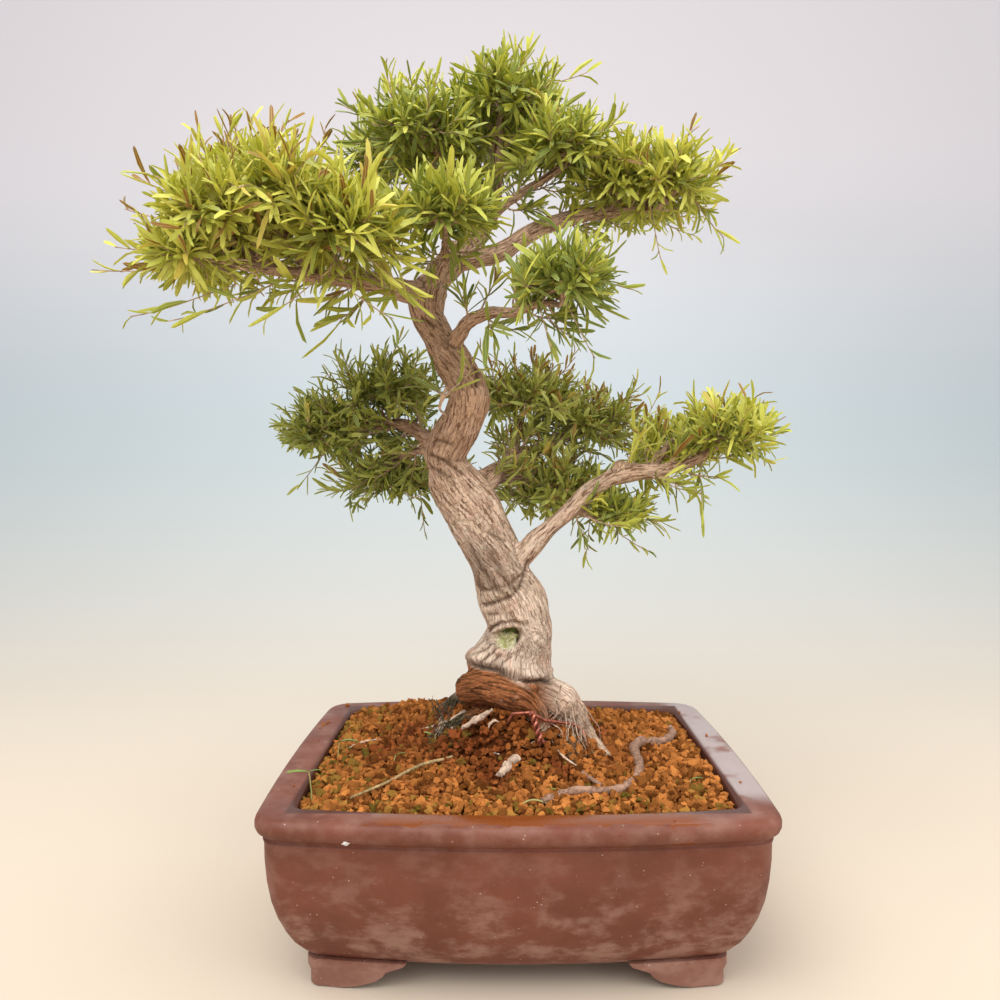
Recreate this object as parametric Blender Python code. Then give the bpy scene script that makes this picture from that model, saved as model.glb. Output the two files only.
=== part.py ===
"""Willow leaf fig bonsai in an unglazed clay pot, in metres with Z up.

Routes of the trunk, branches, roots and twigs are tables in millimetres from
the middle of the pot's footprint: x, y, z and radius. The pot's front faces -Y.
At the end the whole plant is moved so that its box stands centred on the origin.
"""
import math
import random

import bmesh
import bpy
from mathutils import Matrix, Vector
from mathutils.bvhtree import BVHTree

MM = 0.001
GAP = 0.3 * MM
LEAST_EDGE = 0.001 * MM

# Clay pot: a bowed, round-cornered rectangle with an inward rim and four cloud feet.
POT_LENGTH = 340 * MM
POT_DEPTH = 270 * MM
BOW_ENDS = 3 * MM
BOW_FRONT = 9 * MM
CORNER_RADIUS = 20 * MM
CORNER_SHRINK = 0.6
LEAST_CORNER = 8 * MM
CORNER_STEPS = 4
BOW_STEPS = 3
# Each wall is a list of how far in from the rim's outline, and how high, in millimetres.
POT_OUTSIDE = [(36, 17.5), (26, 27), (16.5, 42.5), (8.5, 65), (5.2, 92), (5.2, 108),
               (0, 112.5), (0, 120), (3, 123)]
POT_INSIDE = [(21.5, 123), (24.2, 120), (24.2, 112), (16, 102), (16, 76), (26, 42.5),
              (42, 25.5)]
POT_FLOOR = 25.5 * MM
FOOT_INSET = 30
FOOT_TOP = 20
# Outline of the arch between two feet, as half spans and heights in millimetres.
ARCH_LONG = [(114, -2), (112, 0.8), (98, 4.5), (88, 9.5), (80, 15), (72, 17.5), (72, 30)]
ARCH_SHORT = [(76, -2), (74, 0.8), (64, 4.5), (57, 9.5), (51, 15), (45, 17.5), (45, 30)]

DRAIN_X = 55 * MM
DRAIN_RADIUS = 12 * MM
DRAIN_SIDES = 12
DRAIN_LOW = 10 * MM
DRAIN_HIGH = 40 * MM
MESH_SIZE = 36 * MM
MESH_THICKNESS = 1.5 * MM
MESH_OPENING = 10 * MM
MESH_BAR = 3 * MM

# Soil: a mound round the trunk with granules as relief.
SOIL_EDGE = 117 * MM
MOUND_HEIGHT = 40 * MM
MOUND_RADIUS = 50 * MM
MOUND_CENTRE = Vector((3, 28, 0)) * MM
BACK_RISE = 9 * MM
BACK_RISE_RADIUS = 60 * MM
BACK_RISE_CENTRE = Vector((-75, 80, 0)) * MM
SOIL_TOP = 200 * MM
GRANULE_PITCH = 15 * MM
GRANULE_RELIEF = 1.6 * MM
SOIL_GRID = (20, 16)
SOIL_SEED = 7
SOIL_CLEARANCE = 1.5 * GAP
BURIED_ROWS = 5
PROBES = 8
LITTER_START = 4 * MM
LITTER_DROPS = 8

# Copper tie wire: a loop through the two drain holes, twisted over the roots.
WIRE_RADIUS = 1.15
WIRE_SIDES = 5
WIRE_LEFT = [(0, -6.5, 16.0), (-42, -6.5, 16.0), (-45.4, -6.5, 16.1), (-47.4, -6.5, 17.2),
             (-48.5, -6.5, 19.6), (-48.5, -6.5, 106), (-40, -11, 126), (-22, -18, 148),
             (-2, -21, 160), (9, -24, 161), (12.5, -25.5, 158)]
WIRE_RIGHT = [(0, -6.5, 16.0), (42, -6.5, 16.0), (45.4, -6.5, 16.1), (47.4, -6.5, 17.2),
              (48.5, -6.5, 19.6), (48.5, -6.5, 106), (52, -8, 124), (52, -5, 137),
              (46, -4, 143.5), (34, -11, 148), (21, -21, 153), (13, -25.5, 158)]
TWIST_TOP = Vector((12, -25, 160)) * MM
TWIST_END = Vector((18.5, -34, 140)) * MM
TWIST_TURNS = 4
TWIST_STEPS = 20
TWIST_LOBE = 2.3 * MM
TWIST_WAIST = 1.3 * MM

# Trunk, from inside the soil to the fork.
TRUNK = [
    (1, 28, 99, 24.3), (2, 28, 121, 28.9), (3, 28, 144, 30.5),
    (0, 28, 162, 31.2), (-3, 30, 179, 33.8), (2, 30, 198, 28.1),
    (4, 28, 214, 24.8), (0, 26, 231, 25.9), (-6, 26, 246, 24.6),
    (-13, 28, 264, 21.5), (-22, 32, 281, 21.6), (-32, 36, 302, 22.1),
    (-43, 39, 321, 21.8), (-53, 40, 340, 18.2), (-55, 37, 352, 16.4),
    (-48, 31, 365, 17.5), (-38, 24, 381, 16.1), (-34, 20, 396, 15.6),
    (-41, 23, 412, 14.4), (-51, 28, 428, 14.5), (-61, 30, 444, 12.6),
    (-69, 30, 459, 13.4), (-68, 28, 474, 14.2), (-60, 28, 488, 11.3),
    (-50, 28, 501, 12.5), (-42, 30, 511, 11.3),
]
ROOTS = [
    [(-26, 32, 161, 12.1), (-35, 14, 166, 13.3), (-21, 3, 170, 13.9), (-4, -5, 168, 12.9),
     (11, -9, 162, 9.8), (19, -10, 149, 6.8), (22, -10, 135, 4.6)],
    [(17, 24, 163, 14.3), (34, 16, 157, 15), (47, 13, 146, 11), (54, 12, 135, 7.1),
     (63, -4, 128, 4.6), (74, -22, 121, 2.9)],
    [(-14, 9, 152, 7.8), (-35, 9, 147, 4.4), (-58, 12, 134, 3.2), (-74, 4, 124, 2.3)],
    [(-28, 44, 158, 12.3), (-49, 57, 143, 7.5), (-67, 71, 128, 4.3)],
    [(26, 45, 156, 12.4), (47, 59, 140, 7.6), (63, 73, 123, 4.3)],
]
BRANCHES = {
    "leader": [(-44, 30, 507, 9.4), (-29, 32, 522, 7.9), (-18, 34, 541, 6.3),
               (-14, 34, 562, 5.1), (-13, 32, 589, 4.3), (-12, 30, 609, 3.1)],
    "crown_left": [(-18, 34, 546, 4.4), (-35, 36, 565, 3.8), (-52, 36, 582, 3.3),
                   (-71, 33, 594, 2.7)],
    "crown_rear": [(-42, 36, 571, 3.8), (-66, 56, 584, 3.4), (-88, 74, 594, 2.7)],
    "crown_right": [(-24, 33, 532, 4.4), (-2, 22, 547, 3.9), (23, 14, 560, 3.5),
                    (39, 9, 569, 2.7)],
    "crown_back": [(-16, 34, 553, 4.4), (-18, 62, 577, 3.8), (-20, 88, 602, 3)],
    "left": [(-65, 28, 477, 10.2), (-82, 16, 475, 8.8), (-97, 1, 476, 7.5),
             (-119, -16, 476, 6.2), (-141, -30, 476, 5.4), (-163, -44, 476, 4.5),
             (-185, -55, 477, 3.7), (-209, -63, 478, 2.8)],
    "left_up": [(-141, -30, 476, 4.2), (-153, -36, 488, 3.6), (-161, -42, 500, 3.1),
                (-169, -48, 507, 2.3)],
    "left_outer": [(-165, -45, 476, 3.8), (-182, -55, 486, 3.1), (-191, -62, 493, 2.5)],
    "left_rear": [(-166, 20, 508, 3.8), (-192, 15, 508, 3.2), (-212, 11, 504, 2.5)],
    "left_back": [(-92, 9, 475, 5.3), (-119, 13, 490, 4.5), (-150, 18, 501, 4),
                  (-182, 22, 516, 3.6), (-210, 24, 528, 2.8)],
    "right": [(-50, 28, 501, 8.6), (-29, 26, 503, 8.6), (-6, 24, 510, 7.7),
              (15, 26, 524, 7), (39, 28, 533, 6.3), (63, 28, 538, 5.4),
              (85, 22, 538, 4.3), (104, 14, 538, 3.5), (116, 9, 542, 2.7)],
    "right_back": [(35, 28, 533, 4.7), (57, 49, 545, 4.1), (82, 72, 553, 3.3)],
    "middle": [(-52, 28, 431, 7.5), (-43, 14, 442, 6.3), (-34, 1, 450, 5.6),
               (-19, -15, 453, 4.8), (-2, -28, 451, 4), (15, -38, 455, 3.3),
               (28, -45, 454, 2.5)],
    "front": [(-54, 26, 501, 4.3), (-53, 1, 504, 3.3), (-51, -20, 507, 2.5)],
    "back_left": [(-53, 36, 355, 7.6), (-71, 51, 364, 7), (-87, 63, 374, 5.8),
                  (-106, 73, 376, 5.1), (-132, 80, 374, 3.9), (-150, 82, 370, 3.1)],
    "back_left_low": [(-60, 42, 349, 5.6), (-78, 61, 354, 4.5), (-97, 80, 348, 3.8),
                      (-112, 92, 339, 2.9)],
    "back_right": [(-36, 40, 320, 11.3), (-23, 55, 328, 10.7), (-10, 71, 338, 8),
                   (10, 86, 350, 6.1), (34, 100, 362, 4.8), (58, 109, 368, 3.4)],
    "back_right_up": [(-5, 75, 341, 5.6), (2, 88, 362, 4.3), (7, 98, 381, 3.3)],
    "back_right_low": [(-13, 67, 331, 5.9), (7, 76, 329, 4.8), (28, 83, 325, 3.4)],
    "low": [(-10, 26, 250, 9.5), (5, 22, 268, 8.3), (19, 18, 285, 7.9),
            (32, 16, 297, 7.5), (46, 14, 310, 7.5), (58, 13, 322, 7.8),
            (75, 12, 332, 7.4), (90, 10, 336, 6.9), (105, 9, 337, 6.1),
            (122, 7, 340, 4.9), (139, 5, 346, 4.2), (150, 4, 354, 3.2)],
    "low_back": [(102, 9, 337, 5), (115, 28, 348, 4), (125, 45, 358, 3.1)],
    "low_under": [(45, 14, 308, 4.2), (59, 20, 303, 3.3)],
    "knob": [(75, 12, 332, 4.7), (80, 9, 340, 4.9), (81, 7, 345, 4.2)],
}
TRUNK_SIDES = 10
BRANCH_SIDES = 6
LIMB_RADIUS = 7.5
LIMB_SIDES = 7
SHOOT_RADIUS = 5
SHOOT_SIDES = 5
SPUR_SIDES = 5

# Root pieces and litter on the soil. Their height follows the mound.
SURFACE_ROOT = [(16, -94, 2), (24, -86, 2.4), (35, -80, 2.7), (53, -78, 2.7),
                (68, -74, 2.8), (80, -60, 2.8), (89, -41, 3), (90, -22, 3.3),
                (90, -7, 3.4), (98, 9, 3.8), (108, 14, 3.5), (119, 18, 3.2),
                (129, 36, 2.8), (131, 54, 2.2)]
ROOT_STUB = [(2, -37, 2.9), (-3, -43, 3.3), (-8, -52, 2.8), (-12, -60, 2.1)]
LEFT_TWIG = [(-110, -88, 1.1), (-90, -66, 1.3), (-69, -44, 1.5), (-50, -32, 1.4)]
RIGHT_TWIG = [(44, -46, 1.3), (50, -58, 1.6), (58, -68, 1.3)]

# Leafy sprays: the branch each grows from, the middle and the three half sizes of
# the space its twigs reach into, in millimetres, and whether it is in full light.
SPRAYS = {
    "spray_left_tip": ("left", (-238, -66, 479), (20, 25, 11), True),
    "spray_left_outer": ("left_outer", (-202, -73, 507), (22, 29, 21), True),
    "spray_left_front": ("left_up", (-156, -61, 527), (23, 31, 23), True),
    "spray_left_inner": ("left", (-117, -57, 504), (19, 27, 24), True),
    "spray_left_top": ("left_back", (-206, 14, 560), (31, 29, 23), True),
    "spray_left_rear": ("left_rear", (-235, 7, 497), (32, 27, 14), True),
    "spray_crown_top": ("leader", (-6, 20, 623), (28, 33, 21), True),
    "spray_crown_left": ("crown_left", (-74, 20, 599), (28, 33, 23), True),
    "spray_crown_right": ("crown_right", (35, -3, 578), (20, 27, 17), True),
    "spray_crown_back": ("crown_back", (-20, 98, 624), (40, 31, 31), True),
    "spray_crown_rear": ("crown_rear", (-112, 92, 606), (29, 27, 22), True),
    "spray_crown_front": ("front", (-48, -42, 517), (16, 21, 12), True),
    "spray_right_tip": ("right", (115, 1, 553), (19, 27, 22), True),
    "spray_right_inner": ("right", (78, 11, 559), (18, 23, 18), True),
    "spray_right_back": ("right_back", (108, 88, 566), (31, 31, 22), True),
    "spray_middle": ("middle", (33, -52, 468), (26, 29, 15), True),
    "spray_back_left_tip": ("back_left", (-169, 84, 372), (24, 31, 27), False),
    "spray_back_left_top": ("back_left", (-104, 71, 407), (27, 27, 21), False),
    "spray_back_left_low": ("back_left_low", (-108, 108, 329), (32, 29, 20), False),
    "spray_back_right_top": ("back_right_up", (11, 106, 407), (30, 29, 23), False),
    "spray_back_right_tip": ("back_right", (77, 119, 385), (27, 29, 28), False),
    "spray_back_right_low": ("back_right_low", (45, 90, 320), (33, 27, 21), False),
    "spray_low_tip": ("low", (162, 1, 372), (24, 29, 21), True),
    "spray_low_inner": ("low_under", (81, 30, 303), (20, 21, 10), True),
    "spray_low_back": ("low_back", (134, 67, 358), (23, 25, 19), True),
}
SPRAY_TWIGS = 6
SIDE_LEAVES = (2, 1)
SIDE_LEAF_PLACES = (0.8, 0.45)
SPUR_LENGTH = 9 * MM
SPUR_SHARE = 0.4
SPUR_RADIUS = 2.4
END_REACH = 3 * MM
STEM_SHARE = 0.92
STEM_TIP_RADIUS = 1.3
TWIG_RADIUS = 1.2
TWIG_TIP_RADIUS = 0.8
BLADE_LENGTH = (32 * MM, 42 * MM)
BLADE_WIDTH = 7.4 * MM
BLADE_DEPTH = 1.4 * MM
BLADE_DROOP = 0.2
BLADE_TRIES = 14
CLEARANCE = 1.0 * MM
SINK = 0.3 * MM
GOLDEN_ANGLE = math.pi * (3 - math.sqrt(5))
# A twig is three-sided: where its corners lie round it, and its flanks between them.
TWIG_CORNERS = (math.pi / 6, math.pi * 5 / 6, math.pi * 3 / 2)
FLANKS = (-math.pi / 6, math.pi * 7 / 6, math.pi / 2)
UP = Vector((0, 0, 1))

CLAY = ("clay", (0.23, 0.105, 0.075), 0.75, 0.0)
SOIL = ("soil", (0.38, 0.19, 0.07), 0.95, 0.0)
BARK = ("bark", (0.50, 0.38, 0.29), 0.85, 0.0)
DEAD_WOOD = ("dead_wood", (0.40, 0.29, 0.20), 0.9, 0.0)
COPPER = ("copper", (0.55, 0.20, 0.12), 0.4, 0.8)
NETTING = ("netting", (0.03, 0.03, 0.03), 0.6, 0.0)
SUN_LEAF = ("sun_leaf", (0.27, 0.33, 0.04), 0.5, 0.0)
SHADE_LEAF = ("shade_leaf", (0.09, 0.17, 0.03), 0.5, 0.0)


def clear_scene():
    for thing in list(bpy.data.objects):
        bpy.data.objects.remove(thing)


def finish_of(finish):
    """Material for a finish: its name, colour, roughness and metallic value."""
    name, colour, roughness, metallic = finish
    made = bpy.data.materials.get(name)
    if made:
        return made
    made = bpy.data.materials.new(name)
    made.use_nodes = True
    shader = made.node_tree.nodes["Principled BSDF"]
    shader.inputs["Base Color"].default_value = (*colour, 1)
    shader.inputs["Roughness"].default_value = roughness
    shader.inputs["Metallic"].default_value = metallic
    made.diffuse_color = (*colour, 1)
    return made


def add_object(name, bm, finish):
    """Put a bmesh in the scene as a named object and free it."""
    bmesh.ops.recalc_face_normals(bm, faces=bm.faces)
    mesh = bpy.data.meshes.new(name)
    bm.to_mesh(mesh)
    bm.free()
    mesh.materials.append(finish_of(finish))
    made = bpy.data.objects.new(name, mesh)
    bpy.context.scene.collection.objects.link(made)
    return made


def loft(rings, tip=None):
    """Closed skin over a row of rings with equal numbers of points, to a tip if given."""
    bm = bmesh.new()
    loops = [[bm.verts.new(point) for point in ring] for ring in rings]
    count = len(loops[0])
    for low, high in zip(loops, loops[1:]):
        for i in range(count):
            after = (i + 1) % count
            bm.faces.new((low[i], low[after], high[after], high[i]))
    bm.faces.new(loops[0])
    if tip is None:
        bm.faces.new(loops[-1])
        return bm
    point = bm.verts.new(tip)
    for i in range(count):
        bm.faces.new((loops[-1][i], loops[-1][(i + 1) % count], point))
    return bm


def millimetres(table):
    """A table of x, y, z and radius as points and radii in metres."""
    points = [Vector(row[:3]) * MM for row in table]
    radii = [row[3] * MM for row in table]
    return points, radii


def tube_rings(points, radii, sides):
    """Rings round a route, carried along it without twisting."""
    rings = []
    side = None
    for i, point in enumerate(points):
        before = points[max(i - 1, 0)]
        after = points[min(i + 1, len(points) - 1)]
        along = (after - before).normalized()
        if side is None:
            side = along.orthogonal().normalized()
        side = (side - along * side.dot(along)).normalized()
        across = along.cross(side)
        ring = []
        for k in range(sides):
            angle = 2 * math.pi * k / sides
            ring.append(point + (side * math.cos(angle) + across * math.sin(angle)) * radii[i])
        rings.append(ring)
    return rings


def tube(name, points, radii, sides, finish):
    return add_object(name, loft(tube_rings(points, radii, sides)), finish)


def grown(points, radii, extra):
    """The same route, thicker and longer by extra, for the space it stands in."""
    first = (points[0] - points[1]).normalized() * extra
    last = (points[-1] - points[-2]).normalized() * extra
    longer = [points[0] + first] + points[1:-1] + [points[-1] + last]
    return longer, [radius + extra for radius in radii]


def remove(things):
    for thing in things:
        bpy.data.objects.remove(thing)


def apply_boolean(target, others, operation, solver="EXACT"):
    """Join, cut or intersect an object with others, and remove the others."""
    group = bpy.data.collections.new(target.name + "_operands")
    bpy.context.scene.collection.children.link(group)
    for other in others:
        bpy.context.scene.collection.objects.unlink(other)
        group.objects.link(other)
    modifier = target.modifiers.new(operation.lower(), "BOOLEAN")
    modifier.operation = operation
    modifier.operand_type = "COLLECTION"
    modifier.collection = group
    modifier.solver = solver
    depsgraph = bpy.context.evaluated_depsgraph_get()
    result = bpy.data.meshes.new_from_object(target.evaluated_get(depsgraph))
    target.modifiers.clear()
    target.data = result
    remove(others)
    bpy.data.collections.remove(group)
    keep_largest_shell(target)
    return target


def keep_largest_shell(target):
    """Drop the hollows, scraps and tiny edges that joining leaves behind."""
    bm = bmesh.new()
    bm.from_mesh(target.data)
    bmesh.ops.dissolve_degenerate(bm, dist=LEAST_EDGE, edges=bm.edges)
    bmesh.ops.triangulate(bm, faces=bm.faces)
    waiting = set(bm.faces)
    shells = []
    while waiting:
        shell = set()
        front = [waiting.pop()]
        while front:
            face = front.pop()
            shell.add(face)
            for edge in face.edges:
                if len(edge.link_faces) != 2:
                    continue
                for other in edge.link_faces:
                    if other in waiting:
                        waiting.remove(other)
                        front.append(other)
        shells.append(shell)
    shells.sort(key=len, reverse=True)
    extra = [face for shell in shells[1:] for face in shell]
    bmesh.ops.delete(bm, geom=extra, context="FACES")
    loose = [vert for vert in bm.verts if not vert.link_faces]
    bmesh.ops.delete(bm, geom=loose, context="VERTS")
    bm.to_mesh(target.data)
    bm.free()


def smooth(thing, degrees):
    thing.data.shade_smooth()
    thing.data.set_sharp_from_angle(angle=math.radians(degrees))


def soil_height(x, y):
    """Height of the soil's even surface: a mound at the trunk, a rise at the back."""
    from_trunk = math.hypot(x - MOUND_CENTRE.x, y - MOUND_CENTRE.y) / MOUND_RADIUS
    from_rise = math.hypot(x - BACK_RISE_CENTRE.x, y - BACK_RISE_CENTRE.y) / BACK_RISE_RADIUS
    mound = MOUND_HEIGHT / (1 + from_trunk ** 3)
    return SOIL_EDGE + mound + BACK_RISE * math.exp(-from_rise ** 2)


def pot_ring(inset, height):
    """Outline of the pot, inset from the rim's edge, with arcs and bowed sides."""
    half_x = POT_LENGTH / 2 - inset - BOW_ENDS
    half_y = POT_DEPTH / 2 - inset - BOW_FRONT
    radius = max(CORNER_RADIUS - inset * CORNER_SHRINK, LEAST_CORNER)
    corners = []
    for quarter in range(4):
        sign_x = 1 if quarter in (0, 3) else -1
        sign_y = 1 if quarter in (0, 1) else -1
        middle = Vector((sign_x * (half_x - radius), sign_y * (half_y - radius), height))
        arc = []
        for k in range(CORNER_STEPS + 1):
            angle = (quarter + k / CORNER_STEPS) * math.pi / 2
            arc.append(middle + Vector((math.cos(angle), math.sin(angle), 0)) * radius)
        corners.append(arc)
    ring = []
    for quarter, arc in enumerate(corners):
        ring.extend(arc)
        start = arc[-1]
        end = corners[(quarter + 1) % 4][0]
        turn = (quarter + 1) * math.pi / 2
        outward = Vector((math.cos(turn), math.sin(turn), 0))
        bow = BOW_FRONT if quarter in (0, 2) else BOW_ENDS
        for k in range(1, BOW_STEPS + 1):
            share = k / (BOW_STEPS + 1)
            ring.append(start.lerp(end, share) + outward * bow * (1 - (2 * share - 1) ** 2))
    return ring


def wall_rings(profile, extra=0.0):
    return [pot_ring(inset * MM + extra, height * MM) for inset, height in profile]


def prism(name, outline, half_length, along_x):
    """Bar with a mirrored outline, lying along X or along Y."""
    full = outline + [(-across, height) for across, height in reversed(outline)]
    rings = []
    for end in (-half_length, half_length):
        if along_x:
            rings.append([Vector((end, across * MM, height * MM)) for across, height in full])
        else:
            rings.append([Vector((across * MM, end, height * MM)) for across, height in full])
    return add_object(name, loft(rings), CLAY)


def drain_hole(x):
    """Upright round bar that cuts a drain hole through the pot's floor."""
    bm = bmesh.new()
    place = Matrix.Translation((x, 0, (DRAIN_LOW + DRAIN_HIGH) / 2))
    bmesh.ops.create_cone(bm, cap_ends=True, segments=DRAIN_SIDES, radius1=DRAIN_RADIUS,
                          radius2=DRAIN_RADIUS, depth=DRAIN_HIGH - DRAIN_LOW, matrix=place)
    return add_object("drain", bm, CLAY)


def box(name, low, high, finish):
    bm = bmesh.new()
    size = Vector(high) - Vector(low)
    middle = (Vector(high) + Vector(low)) / 2
    place = Matrix.Translation(middle) @ Matrix.Diagonal((*size, 1))
    bmesh.ops.create_cube(bm, size=1, matrix=place)
    return add_object(name, bm, finish)


def make_pot():
    """Pot body with its cavity, four feet left between two arches, and two drain holes."""
    pot = add_object("pot", loft(wall_rings(POT_OUTSIDE + POT_INSIDE)), CLAY)
    feet = add_object("feet", loft(wall_rings([(FOOT_INSET, 0), (FOOT_INSET, FOOT_TOP)])), CLAY)
    arches = [prism("arch_front", ARCH_LONG, POT_DEPTH, along_x=False),
              prism("arch_ends", ARCH_SHORT, POT_LENGTH, along_x=True)]
    for arch in arches:
        cut_keeping_all(feet, arch)
    union_whole(pot, feet)
    drains = [drain_hole(side * DRAIN_X) for side in (-1, 1)]
    apply_boolean(pot, drains, "DIFFERENCE")
    smooth(pot, 35)
    return pot


def cut_keeping_all(target, cutter):
    """Cut a target that falls into several pieces, and keep every piece."""
    modifier = target.modifiers.new("cut", "BOOLEAN")
    modifier.operation = "DIFFERENCE"
    modifier.object = cutter
    bake(target)
    remove([cutter])


def union_whole(target, other):
    modifier = target.modifiers.new("join", "BOOLEAN")
    modifier.operation = "UNION"
    modifier.object = other
    bake(target)
    remove([other])
    keep_largest_shell(target)


def bake(target):
    depsgraph = bpy.context.evaluated_depsgraph_get()
    result = bpy.data.meshes.new_from_object(target.evaluated_get(depsgraph))
    target.modifiers.clear()
    target.data = result


def make_drain_mesh(name, x):
    """Square of netting with four openings, on the pot's floor over a drain hole."""
    half = MESH_SIZE / 2
    low = POT_FLOOR + GAP
    netting = box(name, (x - half, -half, low), (x + half, half, low + MESH_THICKNESS), NETTING)
    openings = []
    offset = (MESH_OPENING + MESH_BAR) / 2
    reach = MESH_OPENING / 2
    for side_x in (-offset, offset):
        for side_y in (-offset, offset):
            corner = Vector((x + side_x, side_y, low))
            spread = Vector((reach, reach, 2 * MESH_THICKNESS))
            openings.append(box("opening", corner - spread, corner + spread, NETTING))
    return apply_boolean(netting, openings, "DIFFERENCE")


def trunk_routes():
    """Every route of the tree's own wood: points, radii and number of sides."""
    routes = [(*millimetres(TRUNK), TRUNK_SIDES)]
    for table in ROOTS:
        routes.append((*millimetres(table), BRANCH_SIDES))
    for table in BRANCHES.values():
        sides = BRANCH_SIDES
        if table[0][3] >= LIMB_RADIUS:
            sides = LIMB_SIDES
        elif table[0][3] < SHOOT_RADIUS:
            sides = SHOOT_SIDES
        routes.append((*millimetres(table), sides))
    return routes


def nearest_on_route(table, target):
    """Point of a route's middle line that lies nearest to a target."""
    points, _ = millimetres(table)
    best = None
    for start, end in zip(points, points[1:]):
        span = end - start
        share = max(0.0, min(1.0, (target - start).dot(span) / span.length_squared))
        place = start + span * share
        if best is None or (place - target).length < (best - target).length:
            best = place
    return best


def carrier_of(spray):
    """Where a spray's stem starts: at a branch's end, or on a spur along its side.

    The answer is the spur's start, its end, the way it points, its radius, and
    whether a spur is needed.
    """
    branch, middle, _, _ = SPRAYS[spray]
    points, radii = millimetres(BRANCHES[branch])
    centre = Vector(middle) * MM
    start = nearest_on_route(BRANCHES[branch], centre)
    if (start - points[-1]).length < END_REACH:
        direction = (points[-1] - points[-2]).normalized()
        return points[-2], points[-1], direction, radii[-1] * STEM_SHARE, False
    reach = centre - start
    length = min(SPUR_LENGTH, reach.length * SPUR_SHARE)
    direction = reach.normalized()
    return start, start + direction * length, direction, SPUR_RADIUS * MM * STEM_SHARE, True


def make_trunk():
    """Trunk, roots, branches and spurs, grown as one piece."""
    pieces = []
    for points, radii, sides in trunk_routes():
        pieces.append(tube("wood", points, radii, sides, BARK))
    for spray in SPRAYS:
        start, end, _, _, on_side = carrier_of(spray)
        if on_side:
            radii = [SPUR_RADIUS * MM, SPUR_RADIUS * MM]
            pieces.append(tube("spur", [start, end], radii, SPUR_SIDES, BARK))
    trunk = pieces[0]
    trunk.name = "trunk"
    apply_boolean(trunk, pieces[1:], "UNION")
    smooth(trunk, 50)
    return trunk


def wire_route(table):
    return [Vector(row) * MM for row in table]


def make_wire():
    """Tie wire: two strands that meet under the pot, and the twist that joins them."""
    strands = []
    for table in (WIRE_LEFT, WIRE_RIGHT):
        points = wire_route(table)
        radii = [WIRE_RADIUS * MM] * len(points)
        strands.append(tube("strand", points, radii, WIRE_SIDES, COPPER))
    rings = []
    along = (TWIST_END - TWIST_TOP).normalized()
    side = along.orthogonal().normalized()
    across = along.cross(side)
    lobes = (TWIST_LOBE, TWIST_WAIST, TWIST_WAIST, TWIST_LOBE, TWIST_WAIST, TWIST_WAIST)
    for step in range(TWIST_STEPS + 1):
        share = step / TWIST_STEPS
        turn = share * TWIST_TURNS * math.pi
        ring = []
        for k, reach in enumerate(lobes):
            angle = turn + k * math.pi / 3
            spoke = side * math.cos(angle) + across * math.sin(angle)
            ring.append(TWIST_TOP.lerp(TWIST_END, share) + spoke * reach)
        rings.append(ring)
    twist = add_object("twist", loft(rings), COPPER)
    wire = strands[0]
    wire.name = "tie_wire"
    return apply_boolean(wire, [strands[1], twist], "UNION")


def make_soil():
    """Soil that fills the pot, cut clear of the wood, the wire and the netting."""
    bm = bmesh.new()
    half_x = SOIL_GRID[0] * GRANULE_PITCH / 2
    half_y = SOIL_GRID[1] * GRANULE_PITCH / 2
    bmesh.ops.create_grid(bm, x_segments=SOIL_GRID[0], y_segments=SOIL_GRID[1], size=1,
                          matrix=Matrix.Diagonal((half_x, half_y, 1, 1)))
    draw = random.Random(SOIL_SEED)
    for vert in bm.verts:
        height = soil_height(vert.co.x, vert.co.y)
        vert.co.z = height + draw.uniform(-GRANULE_RELIEF, GRANULE_RELIEF)
    under = bmesh.ops.extrude_face_region(bm, geom=bm.faces[:])
    for vert in under["geom"]:
        if isinstance(vert, bmesh.types.BMVert):
            vert.co.z = 0
    soil = add_object("soil", bm, SOIL)
    below_rim = POT_INSIDE[2:]
    rings = [pot_ring(below_rim[0][0] * MM + GAP, SOIL_TOP)]
    for inset, height in below_rim:
        rings.append(pot_ring(inset * MM + GAP, height * MM + GAP))
    plug = add_object("plug", loft(rings), SOIL)
    apply_boolean(soil, [plug], "INTERSECT")
    spaces = []
    for table in [TRUNK[:BURIED_ROWS], *ROOTS]:
        sides = TRUNK_SIDES if table[0] == TRUNK[0] else BRANCH_SIDES
        spaces.append(tube("space", *grown(*millimetres(table), SOIL_CLEARANCE), sides, SOIL))
    for table in (WIRE_LEFT, WIRE_RIGHT):
        points = wire_route(table)
        radii = [WIRE_RADIUS * MM] * len(points)
        spaces.append(tube("space", *grown(points, radii, SOIL_CLEARANCE), WIRE_SIDES, SOIL))
    reach = MESH_SIZE / 2 + GAP
    top = POT_FLOOR + MESH_THICKNESS + 2 * GAP
    for side in (-DRAIN_X, DRAIN_X):
        low = (side - reach, -reach, DRAIN_LOW)
        spaces.append(box("space", low, (side + reach, reach, top), SOIL))
    return apply_boolean(soil, spaces, "DIFFERENCE")


def space_round(points, radii, soil_tree):
    """Smallest space between a round bar on a route and the granules."""
    spaces = []
    for i in range(len(points) - 1):
        for step in range(PROBES + 1):
            share = step / PROBES
            place = points[i].lerp(points[i + 1], share)
            radius = radii[i] * (1 - share) + radii[i + 1] * share
            spaces.append(soil_tree.find_nearest(place)[3] - radius)
    return min(spaces)


def surface_route(table, soil_tree):
    """Route laid on the soil: each stretch drops until a granule carries it."""
    radii = [size * MM for _, _, size in table]
    points = []
    for x, y, size in table:
        above = Vector((x * MM, y * MM, SOIL_TOP))
        ground = soil_tree.ray_cast(above, -UP)[0]
        points.append(ground + UP * (size * MM + LITTER_START))
    for _ in range(LITTER_DROPS):
        drop = space_round(points, radii, soil_tree) - GAP
        points = [point - UP * drop for point in points]
    return points, radii


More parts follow.
